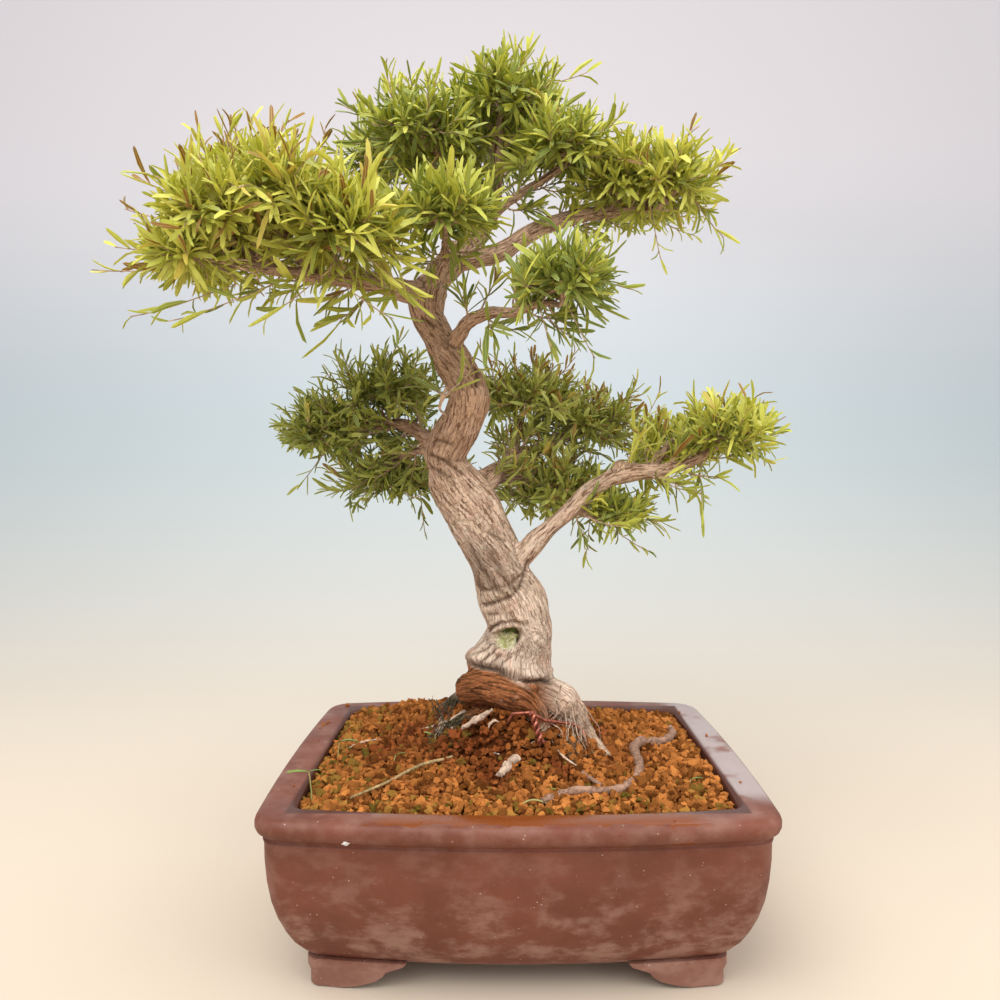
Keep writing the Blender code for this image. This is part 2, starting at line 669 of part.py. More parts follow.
def tree_of(thing):
    bm = bmesh.new()
    bm.from_mesh(thing.data)
    made = BVHTree.FromBMesh(bm)
    bm.free()
    return made


def make_litter(soil):
    """Root pieces and dead twigs that lie on the soil."""
    soil_tree = tree_of(soil)
    for name, table in (("surface_root", SURFACE_ROOT), ("root_stub", ROOT_STUB),
                        ("fallen_twig_left", LEFT_TWIG), ("fallen_twig_right", RIGHT_TWIG)):
        points, radii = surface_route(table, soil_tree)
        tube(name, points, radii, SHOOT_SIDES, DEAD_WOOD)


def frame_across(along, toward):
    """Two directions square to a third; the second one turns toward a wanted way."""
    lift = toward - along * toward.dot(along)
    if lift.length < 0.2:
        lift = Vector((-along.x, -along.y, 0.3)).cross(along).cross(along)
        lift = lift if lift.length > 0.05 else along.orthogonal()
    lift.normalize()
    return along.cross(lift), lift


def blade_rings(base, along, toward, length, swell=0.0):
    """Two rings and the tip of a narrow leaf, keeled below and arched over its length."""
    side, lift = frame_across(along, toward)

    def middle(share):
        return base + along * (length * share) - lift * (BLADE_DROOP * length * share * share)

    rings = []
    for share, width in ((0.3, 0.9), (0.66, 1.0)):
        centre = middle(share)
        half = BLADE_WIDTH * width / 2 + swell
        rings.append([centre + side * half + lift * swell, centre - side * half + lift * swell,
                      centre - lift * (BLADE_DEPTH + swell)])
    return rings, middle(1.0) + along * swell


BLADE_FACES = [(0, 2, 1), (0, 3, 2), (0, 1, 3), (1, 2, 5), (1, 5, 4), (2, 3, 6), (2, 6, 5),
               (3, 1, 4), (3, 4, 6), (4, 5, 7), (5, 6, 7), (6, 4, 7)]


def blade_points(base, along, toward, length, swell=0.0):
    rings, tip = blade_rings(base, along, toward, length, swell)
    return [base, *rings[0], *rings[1], tip]


def is_clear(points, faces, trees):
    probe = BVHTree.FromPolygons(points, faces)
    return not any(probe.overlap(tree) for tree in trees)


def tube_faces(rings):
    """Points and side faces of a tube, for testing what it would cross."""
    points = [point for ring in rings for point in ring]
    count = len(rings[0])
    faces = []
    for row in range(len(rings) - 1):
        for i in range(count):
            after = (i + 1) % count
            faces.append((row * count + i, row * count + after,
                          (row + 1) * count + after, (row + 1) * count + i))
    return points, faces


def turned(direction, axis, angle):
    return Matrix.Rotation(angle, 3, axis) @ direction


class Twig:
    """One twig of a spray: its route, and the leaf that its tip runs out into."""

    def __init__(self, points, radii, sides):
        self.points = points
        self.radii = radii
        self.sides = sides
        self.leaf = None

    def tip_direction(self):
        return (self.points[-1] - self.points[-2]).normalized()

    def probe(self, swell=0.0):
        fat = [radius + swell for radius in self.radii]
        return tube_faces(tube_rings(self.points, fat, self.sides))

    def build(self, finish):
        if self.sides != len(TWIG_CORNERS):
            return tube("twig", self.points, self.radii, self.sides, finish)
        rings = []
        for i, point in enumerate(self.points):
            along = self.points[min(i + 1, len(self.points) - 1)] - self.points[max(i - 1, 0)]
            side, lift = frame_across(along.normalized(), UP)
            ring = []
            for corner in TWIG_CORNERS:
                spoke = side * math.cos(corner) + lift * math.sin(corner)
                ring.append(point + spoke * self.radii[i])
            rings.append(ring)
        if self.leaf is None:
            return add_object("twig", loft(rings), finish)
        leaf_rings, tip = blade_rings(self.points[-1], *self.leaf)
        return add_object("twig", loft(rings + leaf_rings, tip), finish)


def plan_twigs(spray, number, obstacles):
    """Stem and twigs of a spray, each twig led to its own share of the space."""
    _, middle, half_sizes, _ = SPRAYS[spray]
    centre = Vector(middle) * MM
    reach = Vector(half_sizes) * MM
    draw = random.Random(number + 11)
    _, seat, direction, radius, _ = carrier_of(spray)
    start = seat + direction * GAP
    bend = start + direction * (centre - start).length * 0.4
    stem_end = bend.lerp(centre, 0.8)
    twigs = [Twig([start, bend, stem_end],
                  [radius, (radius + STEM_TIP_RADIUS * MM) / 2, STEM_TIP_RADIUS * MM], SPUR_SIDES)]
    for k in range(SPRAY_TWIGS):
        level = 0.97 - 1.5 * (k + 0.5) / SPRAY_TWIGS
        flat = math.sqrt(1 - level * level)
        origin = bend.lerp(stem_end, 0.1 + 0.88 * (k + 0.5) / SPRAY_TWIGS)
        for attempt in range(8):
            angle = k * GOLDEN_ANGLE + number + attempt * draw.uniform(-0.4, 0.4)
            target = centre + Vector((flat * math.cos(angle) * reach.x,
                                      flat * math.sin(angle) * reach.y, level * reach.z))
            twig = Twig([origin, target], [TWIG_RADIUS * MM, TWIG_TIP_RADIUS * MM], 3)
            if is_clear(*twig.probe(CLEARANCE), obstacles):
                twigs.append(twig)
                break
    return twigs


def find_clear_leaf(base, heading_of, draw, others, own):
    """First leaf, of several turned each its own way, that crosses nothing."""
    for attempt in range(BLADE_TRIES):
        heading, toward = heading_of(attempt)
        length = draw.uniform(*BLADE_LENGTH)
        if not is_clear(blade_points(base, heading, toward, length, CLEARANCE),
                        BLADE_FACES, others):
            continue
        outer = base + heading * length * 0.25
        if is_clear(blade_points(outer, heading, toward, length * 0.75, CLEARANCE),
                    BLADE_FACES, own):
            return heading, toward, length
    return None


def plan_leaves(twigs, number, obstacles):
    """Leaves of a spray: one at each twig's tip, then those along its sides."""
    draw = random.Random(number + 101)
    own = [BVHTree.FromPolygons(*twig.probe()) for twig in twigs]
    leaves = []
    for k, twig in enumerate(twigs[1:]):
        along = twig.tip_direction()

        def at_tip(attempt):
            side = turned(along.orthogonal().normalized(), along, k + attempt * 2.1)
            return (along + side * (0.1 + 0.08 * attempt)).normalized(), UP

        found = find_clear_leaf(twig.points[-1], at_tip, draw, obstacles, own)
        if found:
            twig.leaf = found
            heading, toward, length = found
            points = blade_points(twig.points[-1], heading, toward, length)
            own.append(BVHTree.FromPolygons(points, BLADE_FACES))
    for order in range(max(SIDE_LEAVES)):
        for k, twig in enumerate(twigs[1:]):
            if order >= SIDE_LEAVES[k % len(SIDE_LEAVES)]:
                continue
            along = twig.tip_direction()
            base = twig.points[0].lerp(twig.points[1], SIDE_LEAF_PLACES[order])

            def at_side(attempt):
                side, lift = frame_across(along, UP)
                flank = FLANKS[(k + order + attempt) % len(FLANKS)]
                out = side * math.cos(flank) + lift * math.sin(flank)
                return (along + out * (0.8 + 0.06 * attempt) + UP * 0.15).normalized(), UP

            found = find_clear_leaf(base, at_side, draw, obstacles, own)
            if found:
                heading, toward, length = found
                leaves.append(blade_points(base - heading * SINK, heading, toward, length))
                own.append(BVHTree.FromPolygons(leaves[-1], BLADE_FACES))
    return leaves, own


def make_leaf(points, finish):
    bm = bmesh.new()
    verts = [bm.verts.new(point) for point in points]
    for face in BLADE_FACES:
        bm.faces.new([verts[i] for i in face])
    return add_object("leaf", bm, finish)


def make_sprays(trunk):
    """All leafy sprays: twigs first, then leaves, so that none crosses another."""
    trunk_tree = tree_of(trunk)
    twigs_of = {}
    taken = {}
    for number, spray in enumerate(SPRAYS):
        obstacles = [trunk_tree] + [tree for trees in taken.values() for tree in trees]
        twigs_of[spray] = plan_twigs(spray, number, obstacles)
        taken[spray] = [BVHTree.FromPolygons(*twig.probe()) for twig in twigs_of[spray]]
    for number, spray in enumerate(SPRAYS):
        obstacles = [trunk_tree]
        for other, trees in taken.items():
            if other != spray:
                obstacles.extend(trees)
        leaves, taken[spray] = plan_leaves(twigs_of[spray], number, obstacles)
        finish = SUN_LEAF if SPRAYS[spray][3] else SHADE_LEAF
        pieces = [twig.build(finish) for twig in twigs_of[spray]]
        pieces += [make_leaf(points, finish) for points in leaves]
        pieces[0].name = spray
        apply_boolean(pieces[0], pieces[1:], "UNION")


def centre_on_origin():
    """Hang everything on one empty and stand the plant's box on the origin."""
    corners = [vert.co for thing in bpy.data.objects for vert in thing.data.vertices]
    middle_x = (min(c.x for c in corners) + max(c.x for c in corners)) / 2
    middle_y = (min(c.y for c in corners) + max(c.y for c in corners)) / 2
    stand = bpy.data.objects.new("stand", None)
    for thing in list(bpy.data.objects):
        if thing is not stand:
            thing.parent = stand
    bpy.context.scene.collection.objects.link(stand)
    stand.location = (-middle_x, -middle_y, 0)


def main():
    clear_scene()
    make_pot()
    make_drain_mesh("drain_mesh_left", -DRAIN_X)
    make_drain_mesh("drain_mesh_right", DRAIN_X)
    make_wire()
    trunk = make_trunk()
    soil = make_soil()
    make_litter(soil)
    make_sprays(trunk)
    centre_on_origin()


main()
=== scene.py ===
"""Looks of a willow leaf fig bonsai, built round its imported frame.

Laid out as a Blender add-on and run as a script. Tables hold millimetres from
the middle of the pot's footprint, with the pot's front facing -Y. Everything
that is made from them is in metres, in the frame's own place.
"""
import math
import random
from itertools import product

import bmesh
import bpy
import numpy as np
from mathutils import Matrix, Vector, noise
from mathutils.bvhtree import BVHTree
from mathutils.kdtree import KDTree


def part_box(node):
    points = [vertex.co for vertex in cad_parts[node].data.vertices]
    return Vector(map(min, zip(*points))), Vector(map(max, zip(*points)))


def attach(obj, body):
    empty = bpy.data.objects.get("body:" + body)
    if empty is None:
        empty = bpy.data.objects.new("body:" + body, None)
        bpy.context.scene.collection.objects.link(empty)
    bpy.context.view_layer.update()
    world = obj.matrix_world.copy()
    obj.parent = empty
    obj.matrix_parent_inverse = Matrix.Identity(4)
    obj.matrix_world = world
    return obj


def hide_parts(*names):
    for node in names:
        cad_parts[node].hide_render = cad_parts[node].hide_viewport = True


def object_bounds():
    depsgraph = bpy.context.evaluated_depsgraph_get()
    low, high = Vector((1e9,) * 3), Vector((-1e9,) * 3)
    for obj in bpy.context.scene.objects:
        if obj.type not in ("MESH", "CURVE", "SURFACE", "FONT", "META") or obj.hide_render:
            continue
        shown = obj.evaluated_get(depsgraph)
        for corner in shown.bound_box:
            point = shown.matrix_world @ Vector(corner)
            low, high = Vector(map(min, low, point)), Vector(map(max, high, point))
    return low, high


bl_info = {
    "name": "Willow Leaf Fig Bonsai",
    "version": (1, 0, 0),
    "blender": (4, 5, 0),
    "location": "View3D > Sidebar > Bonsai",
    "description": "Builds a potted fig bonsai: clay pot, granular soil, wood and foliage",
    "category": "Add Mesh",
}

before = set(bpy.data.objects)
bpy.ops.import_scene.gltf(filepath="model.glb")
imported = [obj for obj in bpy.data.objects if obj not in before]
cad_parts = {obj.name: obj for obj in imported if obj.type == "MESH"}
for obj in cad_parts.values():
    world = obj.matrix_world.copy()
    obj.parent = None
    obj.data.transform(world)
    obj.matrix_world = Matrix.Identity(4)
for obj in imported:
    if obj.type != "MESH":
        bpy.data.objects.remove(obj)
CAD_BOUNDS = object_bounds()
POT_LOW, POT_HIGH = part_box("pot")
POT_MIDDLE = Vector(((POT_LOW.x + POT_HIGH.x) / 2, (POT_LOW.y + POT_HIGH.y) / 2, 0))
BODY = "root"
MM = 0.001
UP = Vector((0, 0, 1))
GOLDEN_ANGLE = math.pi * (3 - math.sqrt(5))

# Trunk, roots and branches: x, y, z and radius of each row, in millimetres.
TRUNK = [
    (1, 28, 99, 24.3), (2, 28, 121, 28.9), (3, 28, 144, 30.5),
    (0, 28, 162, 31.2), (-3, 30, 179, 33.8), (2, 30, 198, 28.1),
    (4, 28, 214, 24.8), (0, 26, 231, 25.9), (-6, 26, 246, 24.6),
    (-13, 28, 264, 21.5), (-22, 32, 281, 21.6), (-32, 36, 302, 22.1),
    (-43, 39, 321, 21.8), (-53, 40, 340, 18.2), (-55, 37, 352, 16.4),
    (-48, 31, 365, 17.5), (-38, 24, 381, 16.1), (-34, 20, 396, 15.6),
    (-41, 23, 412, 14.4), (-51, 28, 428, 14.5), (-61, 30, 444, 12.6),
    (-69, 30, 459, 13.4), (-68, 28, 474, 14.2), (-60, 28, 488, 11.3),
    (-50, 28, 501, 12.5), (-42, 30, 511, 11.3),
]
ROOTS = [
    [(-26, 32, 161, 12.1), (-35, 14, 166, 13.3), (-21, 3, 170, 13.9), (-4, -5, 168, 12.9),
     (11, -9, 162, 9.8), (19, -10, 149, 6.8), (22, -10, 135, 4.6)],
    [(17, 24, 163, 14.3), (34, 16, 157, 15), (47, 13, 146, 11), (54, 12, 135, 7.1),
     (63, -4, 128, 4.6), (74, -22, 121, 2.9)],
    [(-14, 9, 152, 7.8), (-35, 9, 147, 4.4), (-58, 12, 134, 3.2), (-74, 4, 124, 2.3)],
    [(-28, 44, 158, 12.3), (-49, 57, 143, 7.5), (-67, 71, 128, 4.3)],
    [(26, 45, 156, 12.4), (47, 59, 140, 7.6), (63, 73, 123, 4.3)],
]
BRANCHES = {
    "leader": [(-44, 30, 507, 9.4), (-29, 32, 522, 7.9), (-18, 34, 541, 6.3),
               (-14, 34, 562, 5.1), (-13, 32, 589, 4.3), (-12, 30, 609, 3.1)],
    "crown_left": [(-18, 34, 546, 4.4), (-35, 36, 565, 3.8), (-52, 36, 582, 3.3),
                   (-71, 33, 594, 2.7)],
    "crown_rear": [(-42, 36, 571, 3.8), (-66, 56, 584, 3.4), (-88, 74, 594, 2.7)],
    "crown_right": [(-24, 33, 532, 4.4), (-2, 22, 547, 3.9), (23, 14, 560, 3.5),
                    (39, 9, 569, 2.7)],
    "crown_back": [(-16, 34, 553, 4.4), (-18, 62, 577, 3.8), (-20, 88, 602, 3)],
    "left": [(-65, 28, 477, 10.2), (-82, 16, 475, 8.8), (-97, 1, 476, 7.5),
             (-119, -16, 476, 6.2), (-141, -30, 476, 5.4), (-163, -44, 476, 4.5),
             (-185, -55, 477, 3.7), (-209, -63, 478, 2.8)],
    "left_up": [(-141, -30, 476, 4.2), (-153, -36, 488, 3.6), (-161, -42, 500, 3.1),
                (-169, -48, 507, 2.3)],
    "left_outer": [(-165, -45, 476, 3.8), (-182, -55, 486, 3.1), (-191, -62, 493, 2.5)],
    "left_rear": [(-166, 20, 508, 3.8), (-192, 15, 508, 3.2), (-212, 11, 504, 2.5)],
    "left_back": [(-92, 9, 475, 5.3), (-119, 13, 490, 4.5), (-150, 18, 501, 4),
                  (-182, 22, 516, 3.6), (-210, 24, 528, 2.8)],
    "right": [(-50, 28, 501, 8.6), (-29, 26, 503, 8.6), (-6, 24, 510, 7.7),
              (15, 26, 524, 7), (39, 28, 533, 6.3), (63, 28, 538, 5.4),
              (85, 22, 538, 4.3), (104, 14, 538, 3.5), (116, 9, 542, 2.7)],
    "right_back": [(35, 28, 533, 4.7), (57, 49, 545, 4.1), (82, 72, 553, 3.3)],
    "middle": [(-52, 28, 431, 7.5), (-43, 14, 442, 6.3), (-34, 1, 450, 5.6),
               (-19, -15, 453, 4.8), (-2, -28, 451, 4), (15, -38, 455, 3.3),
               (28, -45, 454, 2.5)],
    "front": [(-54, 26, 501, 4.3), (-53, 1, 504, 3.3), (-51, -20, 507, 2.5)],
    "back_left": [(-53, 36, 355, 7.6), (-71, 51, 364, 7), (-87, 63, 374, 5.8),
                  (-106, 73, 376, 5.1), (-132, 80, 374, 3.9), (-150, 82, 370, 3.1)],
    "back_left_low": [(-60, 42, 349, 5.6), (-78, 61, 354, 4.5), (-97, 80, 348, 3.8),
                      (-112, 92, 339, 2.9)],
    "back_right": [(-36, 40, 320, 11.3), (-23, 55, 328, 10.7), (-10, 71, 338, 8),
                   (10, 86, 350, 6.1), (34, 100, 362, 4.8), (58, 109, 368, 3.4)],
    "back_right_up": [(-5, 75, 341, 5.6), (2, 88, 362, 4.3), (7, 98, 381, 3.3)],
    "back_right_low": [(-13, 67, 331, 5.9), (7, 76, 329, 4.8), (28, 83, 325, 3.4)],
    "low": [(-10, 26, 250, 9.5), (5, 22, 268, 8.3), (19, 18, 285, 7.9),
            (32, 16, 297, 7.5), (46, 14, 310, 7.5), (58, 13, 322, 7.8),
            (75, 12, 332, 7.4), (90, 10, 336, 6.9), (105, 9, 337, 6.1),
            (122, 7, 340, 4.9), (139, 5, 346, 4.2), (150, 4, 354, 3.2)],
    "low_back": [(102, 9, 337, 5), (115, 28, 348, 4), (125, 45, 358, 3.1)],
    "low_under": [(45, 14, 308, 4.2), (59, 20, 303, 3.3)],
    "knob": [(75, 12, 332, 4.7), (80, 9, 340, 4.9), (81, 7, 345, 4.2)],
}
# Leafy sprays: branch, middle and half sizes of the space, in millimetres, painted light of the
# leaves (below 0 they take the painted-shade colour), and the stretch of its branch that bears twigs,
# with their number.
SPRAYS = {
    "spray_left_tip": ("left", (-221, -66, 481), (12, 22, 6), 0.66, (0.55, 1, 12)),
    "spray_left_outer": ("left_outer", (-202, -73, 507), (17, 28, 20), 0.66, (0, 1, 6)),
    "spray_left_front": ("left_up", (-156, -61, 525), (23, 30, 22), 0.66, (0, 1, 8)),
    "spray_left_inner": ("left", (-116, -57, 503), (20, 27, 23), 0.60, (0.22, 0.6, 12)),
    "spray_left_top": ("left_back", (-204, 14, 558), (31, 29, 23), 0.66, (0.3, 1, 12)),
    "spray_left_rear": ("left_rear", (-233, 7, 497), (26, 26, 13), 0.62, (0, 1, 8)),
    "spray_crown_top": ("leader", (-6, 20, 621), (28, 32, 20), 0.32, (0.45, 1, 10)),
    "spray_crown_left": ("crown_left", (-72, 20, 598), (33, 33, 26), 0.27, (0.2, 1, 12)),
    "spray_crown_right": ("crown_right", (34, -3, 578), (26, 28, 19), 0.36, (0.2, 1, 11)),
    "spray_crown_back": ("crown_back", (-20, 98, 622), (46, 32, 32), 0.32, (0.2, 1, 8)),
    "spray_crown_rear": ("crown_rear", (-110, 92, 606), (24, 27, 22), 0.26, (0.1, 1, 8)),
    "spray_crown_front": ("front", (-50, -42, 517), (24, 21, 11), 0.40, (0.1, 1, 7)),
    "spray_right_tip": ("right", (115, 1, 553), (18, 27, 21), 0.56, (0.75, 1, 8)),
    "spray_right_inner": ("right", (78, 11, 559), (18, 23, 18), 0.52, (0.45, 0.75, 9)),
    "spray_right_back": ("right_back", (108, 88, 566), (28, 31, 22), 0.54, (0.2, 1, 6)),
    "spray_middle": ("middle", (33, -52, 468), (22, 28, 15), 0.22, (0.3, 1, 14)),
    "spray_back_left_tip": ("back_left", (-166, 84, 372), (22, 31, 30), -0.46, (0.3, 1, 22)),
    "spray_back_left_top": ("back_left", (-104, 71, 405), (33, 29, 26), -0.46, (0.2, 0.7, 16)),
    "spray_back_left_low": ("back_left_low", (-106, 106, 331), (38, 31, 25), -0.42, (0.2, 1, 18)),
    "spray_back_right_top": ("back_right_up", (13, 106, 404), (37, 32, 29), -0.70, (0, 1, 20)),
    "spray_back_right_tip": ("back_right", (72, 117, 382), (34, 32, 33), -0.72, (0.1, 1, 30)),
    "spray_back_right_low": ("back_right_low", (44, 90, 322), (38, 30, 28), -0.68, (0, 1, 18)),
    "spray_low_tip": ("low", (161, 1, 366), (20, 28, 17), 0.50, (0.6, 1, 20)),
    "spray_low_inner": ("low_under", (82, 30, 306), (17, 19, 8), 0.36, (0, 1, 4)),
    "spray_low_back": ("low_back", (134, 67, 358), (23, 25, 18), 0.50, (0, 1, 6)),
}
# Leaves of these sprays are larger, by a factor.
LARGE_LEAVES = {"spray_left_inner": 1.32, "spray_crown_front": 1.12, "spray_left_front": 1.08}
MAIN_TWIGS = 6
END_REACH = 0.003
SPUR_RADIUS = 0.0024
STEM_TIP_RADIUS = 0.0012
# Shoots that stand clear of the sprays: y of them all, then for each x and z of a place
# on its way and of its end, in millimetres, and its number of leaves.
SHOOTS = {
    "spray_left_tip": (-66, [((-178, 477), (-284, 472), 13), ((-188, 462), (-259, 441), 9),
        ((-170, 459), (-233, 438), 8), ((-201, 485), (-268, 487), 9),
        ((-211, 501), (-261, 512), 7)]),
    "spray_left_outer": (-70, [((-219, 507), (-224, 540), 6), ((-216, 516), (-248, 530), 6),
        ((-206, 523), (-210, 553), 6)]),
    "spray_left_top": (14, [((-202, 581), (-200, 606), 6), ((-213, 566), (-212, 601), 6),
        ((-187, 581), (-172, 604), 6), ((-149, 574), (-144, 599), 6)]),
    "spray_left_inner": (-57, [((-127, 474), (-171, 442), 7), ((-100, 481), (-65, 456), 7),
        ((-113, 460), (-84, 441), 6)]),
    "spray_crown_top": (20, [((4, 632), (2, 652), 6), ((23, 632), (55, 642), 6),
        ((-11, 634), (-40, 644), 6), ((11, 636), (24, 646), 6)]),
    "spray_crown_left": (20, [((-88, 614), (-90, 637), 6), ((-103, 606), (-131, 617), 7),
        ((-73, 621), (-82, 634), 6)]),
    "spray_crown_right": (-3, [((52, 590), (80, 588), 7)]),
    "spray_right_tip": (1, [((126, 562), (154, 565), 7), ((130, 543), (156, 512), 7),
        ((115, 569), (132, 593), 7), ((100, 540), (109, 496), 8)]),
    "spray_right_back": (88, [((91, 593), (118, 628), 8)]),
    "spray_low_tip": (1, [((166, 374), (196, 374), 8), ((170, 355), (196, 344), 7),
        ((155, 372), (156, 391), 6), ((140, 338), (143, 304), 6), ((172, 375), (185, 383), 6)]),
    "spray_low_inner": (30, [((68, 298), (107, 273), 7), ((60, 298), (57, 268), 6)]),
    "spray_low_back": (67, [((106, 371), (122, 403), 8)]),
    "spray_back_right_tip": (119, [((70, 387), (118, 406), 9), ((70, 373), (114, 356), 8)]),
    "spray_back_right_top": (106, [((-20, 417), (-29, 446), 8), ((15, 417), (28, 436), 7)]),
    "spray_middle": (-52, [((33, 455), (54, 415), 6), ((16, 448), (24, 422), 5),
        ((43, 475), (79, 462), 7), ((29, 482), (30, 504), 6)]),
    "spray_back_left_tip": (84, [((-162, 372), (-190, 367), 8), ((-160, 356), (-185, 324), 8),
        ((-162, 395), (-182, 403), 6)]),
    "spray_back_left_low": (108, [((-119, 328), (-167, 328), 8), ((-83, 319), (-79, 283), 7),
        ((-145, 337), (-146, 302), 7)]),
    "spray_back_left_top": (71, [((-138, 422), (-145, 437), 6), ((-104, 430), (-96, 447), 6)]),
    "spray_crown_front": (-42, [((-60, 522), (-61, 546), 6), ((-74, 515), (-94, 531), 6)]),
}
# A small shoot on the trunk: foot, way, middle of its leaves and half sizes.
TRUNK_SHOOT = ((-50, 16, 379), (-0.6, -0.6, 0.5), (-50, -4, 404), (13, 9, 22))
# A leaf's outline: how far along, and its half width, in shares.
LEAF_OUTLINE = ((0, 0.15), (0.17, 0.62), (0.52, 1), (0.89, 0.68))
LEAF_FOLD = 0.16
LEAF_THICKNESS = 0.0004
BARE_SHARE = 0.28
FAR_SHRINK = 0.5
MIDDLE_SKIN = 0.0055
STRAY_MARGIN = 0.006
# How far twigs reach: past a spray's half sizes, then in shares of them.
TWIG_REACH = (0.9, 1.0, 0.42)
MAIN_DEPTH = 0.72
SIDE_DEPTH = (0.42, 1.02)
WILD_DEPTH = (1.02, 1.26)
WILD_SHARE = 0.14
MAIN_TWIG_RADIUS = 0.0013
SIDE_TWIG_RADIUS = 0.0009
SHOOT_RADIUS = 0.0010
SHOOT_TIP_RADIUS = 0.0004
CLOTHING_LEAVES = 9
# Leaves: how far their tones spread, and how many are long or young, and their size.
TONE_SPREAD = 0.19
LONG_SHARE = 0.06
LONG_SIZE = 1.35
YOUNG_SHARE = 0.11
YOUNG_SIZE = 0.55

# Root pieces and litter: x, y and radius of each row, in millimetres.
SURFACE_ROOT = [(16, -94, 2), (24, -86, 2.4), (35, -80, 2.7), (53, -78, 2.7),
                (68, -74, 2.8), (80, -60, 2.8), (89, -41, 3), (90, -22, 3.3),
                (90, -7, 3.4), (98, 9, 3.8), (108, 14, 3.5), (119, 18, 3.2),
                (129, 36, 2.8), (131, 54, 2.2)]
ROOT_STUB = [(2, -37, 2.9), (-3, -43, 3.3), (-8, -52, 2.8), (-12, -60, 2.1)]
LEFT_TWIG = [(-110, -88, 0.8), (-90, -66, 1.0), (-69, -44, 1.1), (-50, -32, 1.1), (-44, -30, 0.9)]
RIGHT_TWIG = [(44, -46, 1.3), (50, -58, 1.6), (58, -68, 1.3)]

# Straws and scraps of pale root on the soil: x, y, z and radius of each row.
ROOT_SCRAPS = [
    [(-40, -19, 146, 1.2), (-29, -19, 153, 2.1), (-17, -18, 160, 1.3)],
    [(-84, 25, 128, 0.8), (-60, 22, 135.5, 1.5), (-46, 20, 142, 2.2), (-38, 19, 147, 1.6)],
    [(-21, -20, 143, 0.7), (-18.5, -20, 150, 1.1), (-14, -20, 152, 1.2), (-10, -21, 147, 0.7)],
    [(-28, -30, 131, 0.6), (-20, -33, 134, 1.0), (-12, -34, 132, 0.6)],
    [(-64, 0, 127, 0.5), (-56, -10, 129.5, 0.6), (-42, -12, 133, 0.5)],
    [(30, -28, 134, 0.6), (36, -37, 130, 0.8), (47, -44, 125, 0.5)],
    [(60, -44, 121, 0.5), (70, -38, 122, 0.8), (82, -44, 119.5, 0.5)],
    [(-130, 6, 122, 0.6), (-118, 16, 124, 0.8), (-104, 20, 125, 0.5)],
]
# Crumbs of soil on the rim, and a chip of lime on the lip: x, y, z and radius.
RIM_CRUMBS = [
    (-150, 112, 124, 1.9), (-158, 62, 123.6, 1.3), (-160, 57, 123.6, 1.5), (-157, 66, 123.6, 1.0),
    (-161, 50, 123.5, 0.8), (155, 30, 123.6, 1.5), (154, -64, 123.6, 1.0), (-152, -70, 123.6, 0.9),
    (147, 92, 123.6, 1.2), (-60, -124, 123.5, 0.7), (96, -123, 123.5, 0.7), (-155, 20, 123.5, 0.7),
]
LIME_CHIP = (-104, -137.2, 115.6)
# Seedlings and a fallen leaf: rows of each stem, then foot, tip and width of each leaf.
SEEDLINGS = [
    ([(-136, -85, 119, 0.5), (-137, -85, 132, 0.45), (-138, -85, 139, 0.4)],
     [((-138, -85, 139), (-153, -86, 142), 2.6), ((-138, -85, 139), (-130, -83, 142), 1.8)]),
    ([(-134, -10, 121, 0.5), (-133, -10, 133, 0.4)], [((-133, -10, 133), (-118, -12, 138), 4.4)]),
    ([(-2, -94, 117, 0.5), (6, -94, 123, 0.6), (14, -94, 123.5, 0.6), (27, -95, 118, 0.5)], []),
    ([(-90, -22, 123, 0.4), (-89, -21, 127, 0.4)], [((-89, -21, 127), (-81, -22, 131), 2.2)]),
    ([(-62, 2, 129, 0.4), (-61, 2, 133, 0.4)], [((-61, 2, 133), (-69, 0, 139), 2.0)]),
    ([(18, -76, 121, 0.4), (20, -76, 123, 0.4)], [((19, -76, 123.4), (37, -73, 124), 5.0)]),
    ([(120, -60, 119, 0.4), (121, -60, 124, 0.4)], [((121, -60, 124), (129, -62, 128), 2.4)]),
]

# Fine roots: middle of their feet, spread of the feet, shortest and longest run, in
# millimetres, the directions they take, their number and whether they are dark.
FINE_ROOTS = [
    ((43, 6, 150), (14, 10, 14), (8, 26), (-2.9, -0.3), 72, False),
    ((-52, 14, 139), (14, 9, 4), (8, 22), (-3.4, 0.6), 26, False),
    ((40, -16, 136), (12, 8, 4), (8, 24), (-2.6, 0.2), 22, True),
    ((-56, 38, 146), (14, 14, 6), (8, 22), (-4.0, 0.4), 36, True),
    ((24, -6, 146), (7, 5, 6), (10, 24), (-2.2, -0.9), 12, False),
    ((62, -10, 130), (10, 8, 4), (12, 30), (-1.8, 0.2), 10, False),
    ((-50, 4, 139), (14, 8, 8), (10, 26), (-3.6, -1.2), 30, True),
]

# Pot walls: how far in from the rim's outline, and how high, in millimetres.
OUTER_WALL = [(37, 18.2), (35, 17.6), (30, 22), (26, 26.5), (21, 34), (16.5, 42.5), (12, 53),
              (8.5, 65), (6.4, 78), (5.3, 92), (5.2, 103.5), (4.4, 106.2), (5.6, 107.4),
              (5.6, 108.6), (3.2, 110.4), (1, 112.4), (0, 115), (0, 118.4), (0.8, 120.8),
              (2.6, 122.4), (5, 123)]
INNER_WALL = [(19.5, 123), (22, 122.2), (23.7, 120.4), (24.2, 117.5), (24.2, 112),
              (22, 107.5), (18, 104), (16, 99), (16, 76), (20, 58), (26, 42.5), (34, 31),
              (42, 26)]
FOOT_INSET = 30
FOOT_TOP = 20
ARCH_LONG = [(114, -2), (113.4, 0.5), (111, 1.6), (105, 2.4), (98, 4.5), (93, 6.2), (88, 9.5),
             (85.5, 13.5), (80, 15.6), (74.5, 17.5), (72, 20), (72, 30)]
